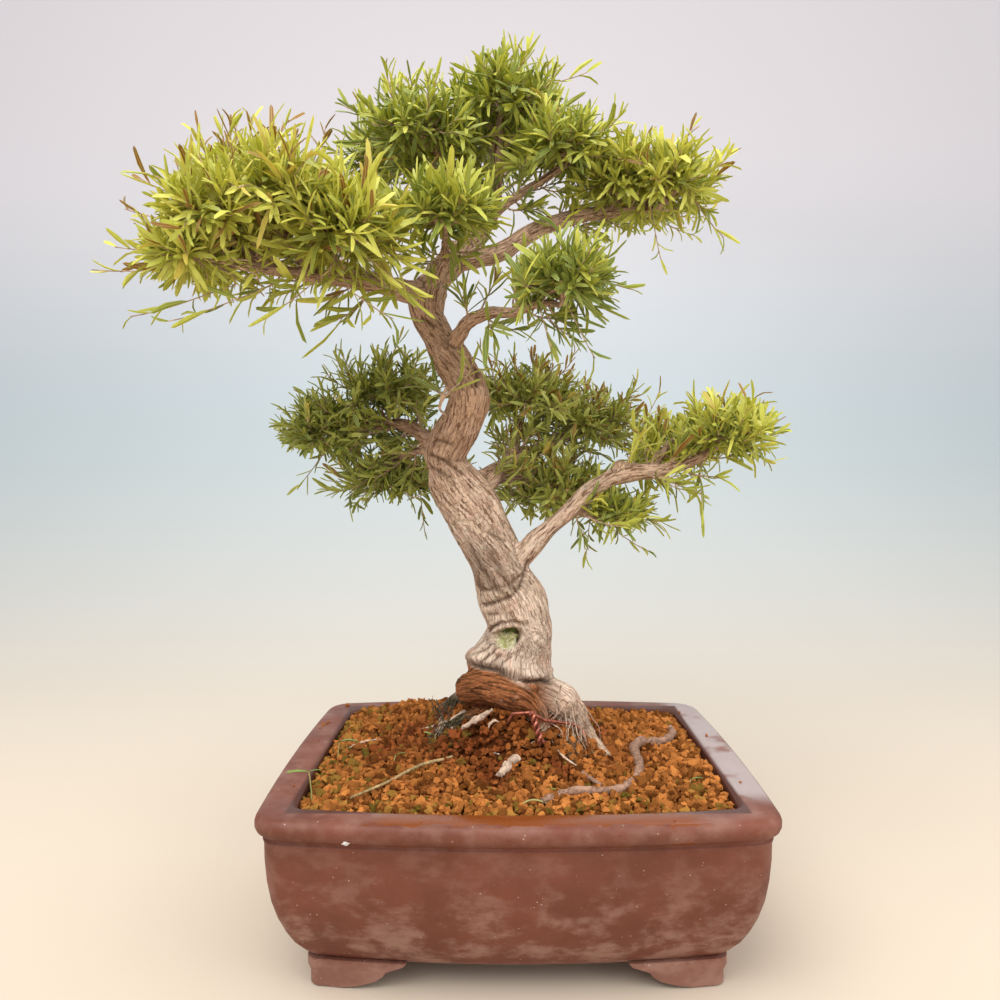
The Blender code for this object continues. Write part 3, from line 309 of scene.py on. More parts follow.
ARCH_SHORT = [(76, -2), (75.4, 0.5), (73, 1.6), (69, 2.4), (64, 4.5), (60, 6.2), (57, 9.5),
              (55, 13.5), (51, 15.6), (47, 17.5), (45, 20), (45, 30)]
DRAIN_X = 55
DRAIN_RADIUS = 12

# Copper tie wire: each strand from under the floor to the twist, then the twist's ends.
WIRE_LEFT = [(0, -6.5, 16.0), (-42, -6.5, 16.0), (-45.4, -6.5, 16.1), (-47.4, -6.5, 17.2),
             (-48.5, -6.5, 19.6), (-48.5, -6.5, 60), (-48.5, -6.5, 106), (-37, -12, 124),
             (-24, -16, 136), (-9, -18, 146), (-2, -21, 158)]
WIRE_RIGHT = [(0, -6.5, 16.0), (42, -6.5, 16.0), (45.4, -6.5, 16.1), (47.4, -6.5, 17.2),
              (48.5, -6.5, 19.6), (48.5, -6.5, 60), (48.5, -6.5, 106), (52, -8, 124),
              (52, -5, 137), (46, -4, 143.5), (34, -11, 148), (21, -21, 153)]
TWIST_TOP = (12, -25, 160)
TWIST_END = (18.5, -34, 140)

# Folds of the bark, seen from the front: x and z of the line, depth and half width.
FOLDS = [
    ([(-28, 244), (-19, 246), (-5, 250.5), (7, 259), (10, 268)], 1.5, 1.5),
    ([(-25, 232), (-13, 237.5), (-3, 242), (3, 248), (7, 257)], 2.6, 1.5),
    ([(-21, 225.5), (-14, 227.5)], 0.9, 1.2),
    ([(-44, 185.5), (-28, 186), (-13, 186), (-3, 182), (12, 175.5), (28, 174)], 4.6, 1.9),
    ([(-36, 189), (-31, 195), (-22, 207), (-17.5, 216), (-10, 222)], 1.1, 1.0),
    ([(-35, 187), (-26, 196), (-16, 203)], 1.0, 0.9),
    ([(-28, 186), (-21, 193), (-13, 201)], 1.0, 0.9),
    ([(-21, 186), (-16, 192), (-10, 197)], 0.9, 0.9),
    ([(-12, 186), (-9, 191), (-3, 195)], 0.7, 0.9),
    ([(-33, 424), (-28, 413), (-30, 402)], 2.4, 2.0),
    ([(-67, 350), (-52, 343.5), (-41, 335)], 1.8, 1.8),
    ([(-66, 340), (-50, 332)], 1.2, 1.6),
    ([(-62, 362), (-50, 358)], 1.0, 1.6),
    ([(-72, 455), (-62, 449)], 1.4, 1.6),
    ([(-20, 290), (-8, 283)], 1.0, 1.8),
]
# Swellings of the wood: middle, radius and height, in millimetres.
SWELLINGS = [
    ((14, 4, 262), 16, 2.5),
    ((-18, 6, 262), 15, 2.0),
    ((-30, 20, 190), 8, 8.5),
    ((-22, 4, 191), 9, 2.5),
    ((-44, 14, 330), 10, 2.5),
    ((-16, 14, 322), 9, 4.5),
    ((-64, 14, 470), 9, 2.5),
    ((-28, 6, 398), 9, 1.8),
]
# Below this line, as x and z seen from the front, the skin takes the grain of the roots.
ROOT_LINE = [(-13, 12), (185, 175)]
# Darker, browner stretches of the trunk: lowest and highest z, and strength.
DARK_STRETCHES = [((241, 247), (294, 270), 0.95), ((350, 358), (392, 376), 0.45), ((418, 430), (470, 445), 0.2)]
SCAR_MIDDLE = (-5.5, 208.5)
SCAR_HALF = (9.5, 8.5)
SCAR_LEAN = 0.3
SCAR_DEPTH = 3.4
SCAR_RIM = 2.2

# Granules: rows and scatter in shares of the pitch, and the line, as y, in front of which
# the large ones are finer.
ROW_STEP = 0.866
SCATTER = 0.42
TURN_RANGE = 6.28
LARGE_SHARE = 0.07
UPPER_SIZE = 0.72
ROOT_SIZE = 0.84
FRONT_LINE = -28
FINE_LIMIT = 0.0029
MOUND_MIDDLE = (3, 28)

# Floor and backdrop, as y and z in metres, and the lamps: name, place and size.
FLOOR_FRONT = -2.2
FLOOR_HALF_WIDTH = 4
BEND_START = 0.6
BEND_RADIUS = 1.5
BEND_STEPS = 18
BACKDROP_TOP = 3.6
LAMPS = (("key", (-0.55, -0.9, 1.75), 1.5), ("fill", (1.2, -0.8, 1.0), 1.2),
         ("back", (0.2, 1.0, 1.9), 1.3))
LAMP_AIM = (0, 0, 0.35)

# Camera: its place in millimetres, its downward tilt in radians and its lens.
CAMERA_PLACE = (-11.5, -606, 342)
CAMERA_TILT = 0.044
CAMERA_LENS = 28.8
CAMERA_SENSOR = 36


class BONSAI_PG_pot(bpy.types.PropertyGroup):
    """Sizes and colours of the clay pot."""

    length: bpy.props.FloatProperty(
        name="Length", description="Length of the rim from end to end",
        default=POT_HIGH.x - POT_LOW.x, min=0.1, max=1.0, unit="LENGTH")
    depth: bpy.props.FloatProperty(
        name="Depth", description="Depth of the rim from front to back",
        default=POT_HIGH.y - POT_LOW.y, min=0.1, max=1.0, unit="LENGTH")
    bow_ends: bpy.props.FloatProperty(
        name="Bow of Ends", description="How far the short sides bow out",
        default=0.003, min=0, max=0.05, unit="LENGTH")
    bow_front: bpy.props.FloatProperty(
        name="Bow of Front", description="How far the long sides bow out",
        default=0.009, min=0, max=0.05, unit="LENGTH")
    corner: bpy.props.FloatProperty(
        name="Corner Radius", description="Radius of the rim's corners",
        default=0.02, min=0.002, max=0.1, unit="LENGTH")
    clay: bpy.props.FloatVectorProperty(
        name="Clay", description="Colour of the fired clay",
        default=(0.158, 0.045, 0.024), min=0, max=1, subtype="COLOR")
    bloom: bpy.props.FloatVectorProperty(
        name="Bloom", description="Colour of the pale weathered patches",
        default=(0.30, 0.155, 0.115), min=0, max=1, subtype="COLOR")
    wet: bpy.props.FloatVectorProperty(
        name="Wet Clay", description="Colour of the wet inner edge of the rim",
        default=(0.20, 0.050, 0.010), min=0, max=1, subtype="COLOR")


class BONSAI_PG_soil(bpy.types.PropertyGroup):
    """Sizes and colours of the granular soil."""

    pitch: bpy.props.FloatProperty(
        name="Granule Pitch", description="Distance between neighbouring granules",
        default=0.0056, min=0.003, max=0.02, unit="LENGTH")
    granule_low: bpy.props.FloatProperty(
        name="Smallest Granule", description="Radius of the smallest granules",
        default=0.0019, min=0.0005, max=0.01, unit="LENGTH")
    granule_high: bpy.props.FloatProperty(
        name="Largest Granule", description="Radius of the common large granules",
        default=0.0043, min=0.0005, max=0.01, unit="LENGTH")
    dry: bpy.props.FloatVectorProperty(
        name="Dry Granules", description="Colour of the dry ochre granules",
        default=(0.29, 0.092, 0.018), min=0, max=1, subtype="COLOR")
    damp: bpy.props.FloatVectorProperty(
        name="Damp Granules", description="Colour of the damp granules by the trunk",
        default=(0.115, 0.030, 0.008), min=0, max=1, subtype="COLOR")


class BONSAI_PG_wood(bpy.types.PropertyGroup):
    """Sizes and colours of the trunk and branches."""

    voxel: bpy.props.FloatProperty(
        name="Voxel", description="Size of the cells that the wood is skinned in",
        default=0.0017, min=0.0008, max=0.01, unit="LENGTH")
    fissure: bpy.props.FloatProperty(
        name="Fissure Depth", description="Depth of the bark's long fissures",
        default=0.0009, min=0, max=0.005, unit="LENGTH")
    bark: bpy.props.FloatVectorProperty(
        name="Bark", description="Colour of the bark's ridges",
        default=(0.86, 0.64, 0.47), min=0, max=1, subtype="COLOR")
    groove: bpy.props.FloatVectorProperty(
        name="Grooves", description="Colour in the bark's fissures",
        default=(0.15, 0.068, 0.034), min=0, max=1, subtype="COLOR")
    root: bpy.props.FloatVectorProperty(
        name="Roots", description="Colour of the red-brown bark at the root base",
        default=(0.27, 0.096, 0.036), min=0, max=1, subtype="COLOR")


class BONSAI_PG_foliage(bpy.types.PropertyGroup):
    """Sizes, numbers and colours of the twigs and leaves."""

    side_twigs: bpy.props.IntProperty(
        name="Side Twigs", description="Leafy side twigs in a spray of middle size",
        default=68, min=0, max=200)
    leaves: bpy.props.IntProperty(
        name="Leaves", description="Leaves on each leafy twig",
        default=14, min=1, max=30)
    spread: bpy.props.FloatProperty(
        name="Spread", description="How far twigs reach past the middle space of a spray",
        default=0.018, min=0, max=0.05, unit="LENGTH")
    length_low: bpy.props.FloatProperty(
        name="Shortest Leaf", description="Length of the shortest full-grown leaves",
        default=0.012, min=0.005, max=0.1, unit="LENGTH")
    length_high: bpy.props.FloatProperty(
        name="Longest Leaf", description="Length of the longest leaves",
        default=0.0265, min=0.005, max=0.1, unit="LENGTH")
    width: bpy.props.FloatProperty(
        name="Leaf Width", description="Width of a leaf of middle length",
        default=0.0040, min=0.001, max=0.03, unit="LENGTH")
    # The sunlit and shaded leaf colours are lit and shaded copies: painted light and painted shade.
    sun: bpy.props.FloatVectorProperty(
        name="Sunlit Leaf", description="Colour of leaves in full light",
        default=(0.58, 0.585, 0.075), min=0, max=1, subtype="COLOR")
    shade: bpy.props.FloatVectorProperty(
        name="Shaded Leaf", description="Colour of leaves that grow in shade",
        default=(0.35, 0.385, 0.055), min=0, max=1, subtype="COLOR")
    young: bpy.props.FloatVectorProperty(
        name="Young Leaf", description="Colour of the newest tips",
        default=(0.34, 0.13, 0.03), min=0, max=1, subtype="COLOR")
    twig: bpy.props.FloatVectorProperty(
        name="Twigs", description="Colour of the young bark",
        default=(0.46, 0.30, 0.19), min=0, max=1, subtype="COLOR")


class BONSAI_PG_details(bpy.types.PropertyGroup):
    """Sizes and colours of the tie wire and the litter."""

    wire_radius: bpy.props.FloatProperty(
        name="Wire Radius", description="Radius of the copper tie wire",
        default=0.00122, min=0.0003, max=0.005, unit="LENGTH")
    turns: bpy.props.FloatProperty(
        name="Turns", description="Turns of the twisted pair",
        default=2.25, min=1, max=20)
    copper: bpy.props.FloatVectorProperty(
        name="Copper", description="Colour of the wire",
        default=(0.45, 0.145, 0.09), min=0, max=1, subtype="COLOR")
    dead_wood: bpy.props.FloatVectorProperty(
        name="Dead Wood", description="Colour of the dry root pieces",
        default=(0.36, 0.205, 0.135), min=0, max=1, subtype="COLOR")
    straw: bpy.props.FloatVectorProperty(
        name="Straw", description="Colour of the fallen twigs",
        default=(0.42, 0.29, 0.13), min=0, max=1, subtype="COLOR")
    pale_root: bpy.props.FloatVectorProperty(
        name="Pale Roots", description="Colour of the stub, the scraps and the fine roots",
        default=(0.60, 0.43, 0.31), min=0, max=1, subtype="COLOR")


class BONSAI_PG_stage(bpy.types.PropertyGroup):
    """Floor, backdrop and light."""

    floor: bpy.props.FloatVectorProperty(
        name="Floor", description="Colour of the floor",
        default=(0.585, 0.492, 0.385), min=0, max=1, subtype="COLOR")
    middle: bpy.props.FloatVectorProperty(
        name="Backdrop", description="Colour of the backdrop's middle",
        default=(0.435, 0.50, 0.520), min=0, max=1, subtype="COLOR")
    top: bpy.props.FloatVectorProperty(
        name="Top of Backdrop", description="Colour of the backdrop's top",
        default=(0.735, 0.69, 0.705), min=0, max=1, subtype="COLOR")
    key: bpy.props.FloatProperty(
        name="Key Light", description="Power of the large soft light over the front",
        default=35.0, min=0, unit="POWER")
    fill: bpy.props.FloatProperty(
        name="Fill Light", description="Power of the soft light from the right",
        default=10.5, min=0, unit="POWER")
    sky: bpy.props.FloatProperty(
        name="Room Light", description="Strength of the even light of the room",
        default=0.92, min=0)


def spot(x, y, z):
    """A place in the frame, from millimetres round the pot's middle."""
    return POT_MIDDLE + Vector((x, y, z)) * MM


def rows_of(table):
    """A table of x, y, z and radius as an array in metres."""
    rows = np.array(table, float) * MM
    rows[:, 0] += POT_MIDDLE.x
    rows[:, 1] += POT_MIDDLE.y
    return rows


def smooth_rows(rows, steps):
    """Rows along a smooth curve through given rows, steps of them to each stretch."""
    before = np.vstack([2 * rows[0] - rows[1], rows[:-1]])
    after = np.vstack([rows[1:], 2 * rows[-1] - rows[-2]])
    slope = (after - before) / 2
    made = []
    for i in range(len(rows) - 1):
        for k in range(steps):
            t = k / steps
            made.append(rows[i] * (2 * t ** 3 - 3 * t ** 2 + 1) + slope[i] * (t ** 3 - 2 * t ** 2 + t)
                        + rows[i + 1] * (3 * t ** 2 - 2 * t ** 3) + slope[i + 1] * (t ** 3 - t ** 2))
    made.append(rows[-1])
    return np.array(made)


def carried_frames(points):
    """Tangent, side and cross direction at each point, carried along without twisting."""
    frames = []
    side = None
    for i, point in enumerate(points):
        before = points[max(i - 1, 0)]
        after = points[min(i + 1, len(points) - 1)]
        along = (after - before).normalized()
        if side is None:
            side = along.orthogonal().normalized()
        side = (side - along * side.dot(along)).normalized()
        frames.append((along, side, along.cross(side)))
    return frames


def round_rings(rows, sides, lumps=0.0, seed=0):
    """Rings of a tube along rows of x, y, z and radius, lumpy by a share of the radius."""
    points = [Vector(row[:3]) for row in rows]
    rings = []
    for point, row, (_, side, across) in zip(points, rows, carried_frames(points)):
        ring = []
        for k in range(sides):
            angle = 2 * math.pi * k / sides
            spoke = side * math.cos(angle) + across * math.sin(angle)
            radius = row[3]
            if lumps:
                where = (point + spoke * radius) / (radius * 3) + Vector((seed, 0, 0))
                radius *= 1 + lumps * noise.noise(where)
            ring.append(point + spoke * radius)
        rings.append(ring)
    return rings


def sweep(bm, rings, tip=None):
    """Closed skin over rings: each ring is extruded from the one before it."""
    count = len(rings[0])
    verts = [bm.verts.new(point) for point in rings[0]]
    edges = [bm.edges.new((verts[i], verts[(i + 1) % count])) for i in range(count)]
    faces = [bm.faces.new(verts)]
    for ring in rings[1:]:
        made = bmesh.ops.extrude_edge_only(bm, edges=edges)["geom"]
        fresh = {item for item in made if isinstance(item, bmesh.types.BMVert)}
        faces.extend(item for item in made if isinstance(item, bmesh.types.BMFace))
        following = []
        for vert in verts:
            for edge in vert.link_edges:
                other = edge.other_vert(vert)
                if other in fresh:
                    following.append(other)
                    break
        for vert, point in zip(following, ring):
            vert.co = point
        verts = following
        edges = [bm.edges.get((verts[i], verts[(i + 1) % count])) for i in range(count)]
    if tip is None:
        faces.append(bm.faces.new(verts))
    else:
        point = bm.verts.new(tip)
        for i in range(count):
            faces.append(bm.faces.new((verts[i], verts[(i + 1) % count], point)))
    bmesh.ops.recalc_face_normals(bm, faces=faces)
    return faces


def mesh_of(bm, name):
    """A bmesh as a mesh; the bmesh is freed."""
    mesh = bpy.data.meshes.new(name)
    bm.to_mesh(mesh)
    bm.free()
    return mesh


def placed(name, data):
    """A new object in the scene."""
    thing = bpy.data.objects.new(name, data)
    bpy.context.scene.collection.objects.link(thing)
    return thing


def add_piece(name, mesh, finishes, nodes=(), sharp=40):
    """Put a finished mesh in the scene as a piece that rides on the plant."""
    piece = placed(name, mesh)
    for finish in finishes:
        mesh.materials.append(finish)
    mesh.shade_smooth()
    mesh.set_sharp_from_angle(angle=math.radians(sharp))
    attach(piece, BODY)
    if nodes:
        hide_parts(*nodes)
    return piece


def evaluated_mesh(thing):
    """An object's mesh with its modifiers applied."""
    depsgraph = bpy.context.evaluated_depsgraph_get()
    return bpy.data.meshes.new_from_object(thing.evaluated_get(depsgraph))


def surface_tree(thing):
    """An object's surface, to cast rays at or to find the nearest place on."""
    return BVHTree.FromObject(thing, bpy.context.evaluated_depsgraph_get())


def cut(thing, cutter, operation):
    """Apply a Boolean to an object and remove the other one."""
    modifier = thing.modifiers.new(operation.lower(), "BOOLEAN")
    modifier.operation = operation
    modifier.object = cutter
    result = evaluated_mesh(thing)
    thing.modifiers.clear()
    thing.data = result
    bpy.data.objects.remove(cutter)


def points_of(mesh, kind="co"):
    """The places of a mesh's vertices, or their normals."""
    values = np.empty(len(mesh.vertices) * 3, np.float32)
    mesh.vertices.foreach_get(kind, values)
    return values.reshape(-1, 3).astype(float)


def store(mesh, name, values):
    """Keep one number, or three, for each vertex as an attribute of the mesh."""
    values = np.asarray(values, np.float32)
    if values.ndim == 1:
        mesh.attributes.new(name, "FLOAT", "POINT").data.foreach_set("value", values)
    else:
        made = mesh.attributes.new(name, "FLOAT_VECTOR", "POINT")
        made.data.foreach_set("vector", values.ravel())


def smoothstep(low, high, value):
    """0 at low, 1 at high, and a smooth change between them."""
    share = np.clip((value - low) / (high - low), 0, 1)
    return share * share * (3 - 2 * share)


def toned(colour, red, green=None, blue=None):
    """A colour times one factor, or times one for each channel, up to 1."""
    factors = (red, green or red, blue or red)
    return tuple(min(1, channel * factor) for channel, factor in zip(colour, factors))


class Finish:
    """A material under construction, with short ways to add and join its nodes."""

    def __init__(self, name, roughness, metallic=0.0, shine=0.5):
        self.material = bpy.data.materials.new(name)
        self.material.use_nodes = True
        self.tree = self.material.node_tree
        self.shader = self.tree.nodes["Principled BSDF"]
        self.output = self.tree.nodes["Material Output"]
        self.shader.inputs["Roughness"].default_value = roughness
        self.shader.inputs["Metallic"].default_value = metallic
        self.shader.inputs["Specular IOR Level"].default_value = shine
        self.place = self.add("ShaderNodeTexCoord").outputs["Object"]

    def add(self, kind, inputs=(), **settings):
        """A node with its settings, and with pairs of an input and what goes into it."""
        made = self.tree.nodes.new(kind)
        for name, value in settings.items():
            setattr(made, name, value)
        for key, source in inputs:
            self.join(source, made.inputs[key])
        return made

    def join(self, source, target):
        if isinstance(source, bpy.types.NodeSocket):
            self.tree.links.new(source, target)
        elif isinstance(source, (int, float)):
            target.default_value = source
        else:
            target.default_value = (*source, 1)

    def attribute(self, name, output="Vector"):
        return self.add("ShaderNodeAttribute", attribute_name=name).outputs[output]

    def parts(self, vector):
        return self.add("ShaderNodeSeparateXYZ", [(0, vector)]).outputs

    def stretched(self, vector, scale):
        made = self.add("ShaderNodeMapping", [("Vector", vector)])
        made.inputs["Scale"].default_value = scale
        return made.outputs["Vector"]

    def noise(self, vector, scale, detail=3.0, roughness=0.5):
        return self.add("ShaderNodeTexNoise", [("Vector", vector), ("Scale", scale),
                                               ("Detail", detail),
                                               ("Roughness", roughness)]).outputs["Fac"]

    def cells(self, vector, scale):
        made = self.add("ShaderNodeTexVoronoi", [("Vector", vector), ("Scale", scale)])
        return made.outputs["Distance"]

    def between(self, value, low, high):
        """0 at low, 1 at high, and a smooth change between them."""
        made = self.add("ShaderNodeMapRange", [("Value", value), ("From Min", low),
                                               ("From Max", high)],
                        interpolation_type="SMOOTHSTEP")
        return made.outputs["Result"]

    def combine(self, operation, first, second=0.0):
        made = self.add("ShaderNodeMath", [(0, first), (1, second)], operation=operation)
        return made.outputs[0]

    def times(self, first, *others):
        for other in others:
            first = self.combine("MULTIPLY", first, other)
        return first

    def plus(self, first, second):
        return self.combine("ADD", first, second)

    def minus(self, first, second):
        return self.combine("SUBTRACT", first, second)

    def distance(self, value, middle):
        return self.combine("ABSOLUTE", self.minus(value, middle))

    def mix(self, share, first, second):
        made = self.add("ShaderNodeMix", [(0, share), (6, first), (7, second)], data_type="RGBA")
        return made.outputs[2]

    def layered(self, colour, *layers):
        """A colour under layers, each a tone and the masks that it shows through."""
        for tone, *masks in layers:
            colour = self.mix(self.times(*masks), colour, tone)
        return colour

    def bump(self, height, distance, strength=1.0, under=None):
        inputs = [("Strength", strength), ("Distance", distance), ("Height", height)]
        if under is not None:
            inputs.append(("Normal", under))
        return self.add("ShaderNodeBump", inputs).outputs["Normal"]

    def wear(self, colour, roughness=None, normal=None):
        """Give the shader its colour, roughness and normal."""
        self.join(colour, self.shader.inputs["Base Color"])
        if roughness is not None:
            self.join(roughness, self.shader.inputs["Roughness"])
        if normal is not None:
            self.join(normal, self.shader.inputs["Normal"])
        return self.material


def clay_finish(pot):
    """Unglazed clay: fine grain, pale bloom and specks, a wet inner rim, a painted reflection on the
    rim's right end and painted shade inside the pot.
    """
    clay = Finish("clay", 0.62, shine=0.3)
    place = clay.place
    x, y, z = clay.parts(place)
    bloom = tuple(pot.bloom)
    half_length = pot.length / 2
    half_depth = pot.depth / 2
    broad = clay.noise(place, 17, 5.0, 0.62)
    cloudy = clay.noise(clay.stretched(place, (1.0, 1.0, 1.6)), 34, 6.0, 0.66)
    inner_edge = POT_LOW.y + 0.0115
    ragged = clay.plus(y, clay.times(clay.noise(place, 95, 3.0), 0.012))
    wet = clay.times(clay.between(ragged, inner_edge, inner_edge + 0.002),
                     clay.between(y, POT_LOW.y + 0.06, POT_LOW.y + 0.05),
                     clay.between(clay.distance(x, POT_MIDDLE.x + 0.012), 0.112, 0.090),
                     clay.between(z, 0.108, 0.112))
    tone = clay.mix(clay.between(broad, 0.3, 0.75), toned(pot.clay, 0.82), toned(pot.clay, 1.18))
    tone = clay.layered(
        tone,
        (bloom, clay.between(cloudy, 0.44, 0.66), 0.75, clay.plus(clay.between(z, 0.10, 0.03), 0.35)),
        (bloom, clay.between(z, 0.100, 0.118), clay.between(clay.noise(place, 60, 4.0), 0.42, 0.75),
         0.45),
        (bloom, clay.between(z, 0.024, 0.016), 0.5),
        # painted reflection: a pale lavender sheen of bright light on the wet top of the rim's right
        # end
        ((0.42, 0.365, 0.35), clay.between(x, POT_HIGH.x - 0.040, POT_HIGH.x - 0.026),
         clay.between(clay.noise(place, 26, 3.0), 0.34, 0.50), clay.between(z, 0.1205, 0.1225),
         clay.between(y, POT_LOW.y + 0.030, POT_LOW.y + 0.060), 0.75),
        ((0.72, 0.62, 0.55), clay.between(clay.cells(place, 260), 0.13, 0.06),
         clay.between(clay.noise(place, 120, 2.0), 0.56, 0.62), 0.6),
        (tuple(pot.wet), wet),
        # painted shade: the clay inside the pot, below the rim, at half its lightness
        (toned(pot.clay, 0.5),
         clay.between(clay.distance(x, POT_MIDDLE.x), half_length - 0.0215, half_length - 0.0240),
         clay.between(clay.distance(y, POT_MIDDLE.y), half_depth - 0.0215, half_depth - 0.0240),
         clay.between(z, 0.060, 0.080)))
    rough = clay.plus(clay.times(clay.noise(place, 45, 3.0), 0.3), 0.42)
    rough = clay.minus(rough, clay.times(clay.between(z, 0.1215, 0.1228),
                                         clay.between(clay.noise(place, 22, 2.0), 0.45, 0.6), 0.22))
    rough = clay.minus(rough, clay.times(wet, 0.45))
    grain = clay.bump(clay.noise(place, 900, 2.0), 0.0003, 0.5)
    return clay.wear(tone, rough, clay.bump(clay.noise(place, 140, 4.0), 0.0006, 0.35, grain))


def soil_finish(soil, name):
    """Fired clay granules: a tone for each from its attribute, with a dusty grain."""
    grit = Finish(name, 0.9, shine=0.04)
    tone, damp, moss = grit.parts(grit.attribute("granule"))
    dry = grit.mix(tone, toned(soil.dry, 0.34), toned(soil.dry, 1.9, 2.2, 2.7))
    wet = grit.mix(tone, toned(soil.damp, 0.35), toned(soil.damp, 2.1))
    dust = grit.between(grit.noise(grit.place, 420, 4.0, 0.6), 0.4, 0.8)
    colour = grit.layered(grit.mix(damp, dry, wet), (toned(soil.dry, 1.4), dust, 0.22),
                          ((0.12, 0.14, 0.02), moss))
    normal = grit.bump(grit.noise(grit.place, 700, 5.0, 0.65), 0.0008, 0.8)
    return grit.wear(colour, grit.minus(0.95, grit.times(damp, 0.25)), normal)


def bark_finish(wood):
    """Pale fissured bark that follows the twist of the wood, with painted shade: browner higher up
    under the leaves and darker in its hollows, and painted light low down.
    """
    bark = Finish("bark", 0.85, shine=0.06)
    place = bark.place
    grain = bark.attribute("grain")
    red, scarred, mossy = bark.parts(bark.attribute("tint"))
    hollow_shade_and_dark_stretches = bark.attribute("hollow_shade_and_dark_stretches", "Fac")
    height = bark.parts(place)[2]
    long_lines = bark.noise(bark.stretched(grain, (1, 1, 0.15)), 520, 5.0, 0.64)
    fine_lines = bark.noise(bark.stretched(grain, (1, 1, 0.24)), 1250, 3.0, 0.6)
    flakes = bark.cells(bark.stretched(grain, (1, 1, 0.30)), 430)
    mottle = bark.noise(bark.stretched(grain, (1, 1, 0.5)), 190, 4.0, 0.6)
    ridge = tuple(wood.bark)
    groove = tuple(wood.groove)
    cracked = bark.plus(bark.times(bark.between(height, 0.22, 0.27), 0.42), 0.46)
    root = bark.mix(bark.between(long_lines, 0.38, 0.60), toned(wood.root, 0.3), toned(wood.root, 1.6))
    root = bark.layered(root, ((0.50, 0.27, 0.14), bark.between(fine_lines, 0.58, 0.70), 0.6))
    moss = bark.mix(bark.between(bark.noise(place, 480, 4.0, 0.7), 0.42, 0.62),
                    (0.026, 0.019, 0.010), (0.13, 0.105, 0.05))
    colour = bark.layered(
        ridge,
        # painted shade: browner higher up, where the leaves shade the trunk
        (toned(ridge, 0.76, 0.63, 0.53), bark.between(height, 0.26, 0.38)),
        (toned(ridge, 0.66, 0.53, 0.42), bark.between(bark.noise(place, 34, 4.0, 0.62), 0.48, 0.70),
         0.6),
        # painted shade: browner still at the top of the trunk, under the crown
        (toned(ridge, 0.90, 0.80, 0.74), bark.between(height, 0.420, 0.485)),
        # painted light: paler low down, out of the leaves' shade
        ((0.98, 0.80, 0.65), bark.between(height, 0.25, 0.20), 0.4),
        (toned(ridge, 0.98, 0.84, 0.84), bark.between(bark.noise(place, 80, 3.0), 0.45, 0.7), 0.7),
        (groove, bark.between(long_lines, 0.50, 0.36), cracked),
        (groove, bark.between(fine_lines, 0.48, 0.36), 0.78),
        (groove, bark.between(flakes, 0.30, 0.10), 0.55),
        ((0.33, 0.19, 0.10), bark.between(mottle, 0.56, 0.70), 0.45),
        ((0.93, 0.78, 0.62), bark.between(long_lines, 0.52, 0.66), bark.between(height, 0.40, 0.28),
         0.7),
        ((0.55, 0.33, 0.19), bark.between(height, 0.170, 0.150), 0.55),
        (root, red, bark.between(bark.noise(place, 60, 3.0), 0.12, 0.32)),
        (scar_tone(bark), scarred),
        (moss, mossy),
        # painted shade in the fissures, creases and the scar's fold, and the darker stretches
        ((0.085, 0.040, 0.018), hollow_shade_and_dark_stretches, 0.8))
    normal = bark.bump(bark.noise(place, 200, 3.0), 0.0008, 0.4)
    for pattern, distance, strength in ((long_lines, 0.0028, 1.0), (flakes, 0.0010, 0.5),
                                        (fine_lines, 0.0012, 1.0)):
        normal = bark.bump(pattern, distance, strength, normal)
    return bark.wear(colour, 0.85, normal)


def scar_tone(bark):
    """Old pruning scar: pale green-yellow, mossy at its top and dark at its right."""
    scar = spot(SCAR_MIDDLE[0], 0, SCAR_MIDDLE[1])
    x, _, z = bark.parts(bark.place)
    speckle = bark.between(bark.noise(bark.place, 420, 4.0, 0.7), 0.40, 0.62)
    ragged = bark.times(bark.noise(bark.place, 300, 3.0), 0.006)
    top = bark.plus(bark.minus(z, scar.z), ragged)
    right = bark.plus(bark.minus(x, scar.x), ragged)
    return bark.layered(bark.mix(speckle, (0.46, 0.46, 0.15), (0.96, 0.87, 0.64)),
                        ((0.10, 0.13, 0.03), bark.between(top, 0.0055, 0.0085)),
                        ((0.07, 0.05, 0.02), bark.between(right, 0.0085, 0.0110)))


def twig_finish(foliage):
    """Young bark, smoother and redder than the trunk's."""
    twig = Finish("twig_bark", 0.7)
    spread = twig.noise(twig.place, 260, 3.0)
    colour = twig.mix(twig.between(spread, 0.35, 0.65), toned(foliage.twig, 0.55),
                      toned(foliage.twig, 1.3))
    return twig.wear(colour, 0.7, twig.bump(spread, 0.0005, 0.5))


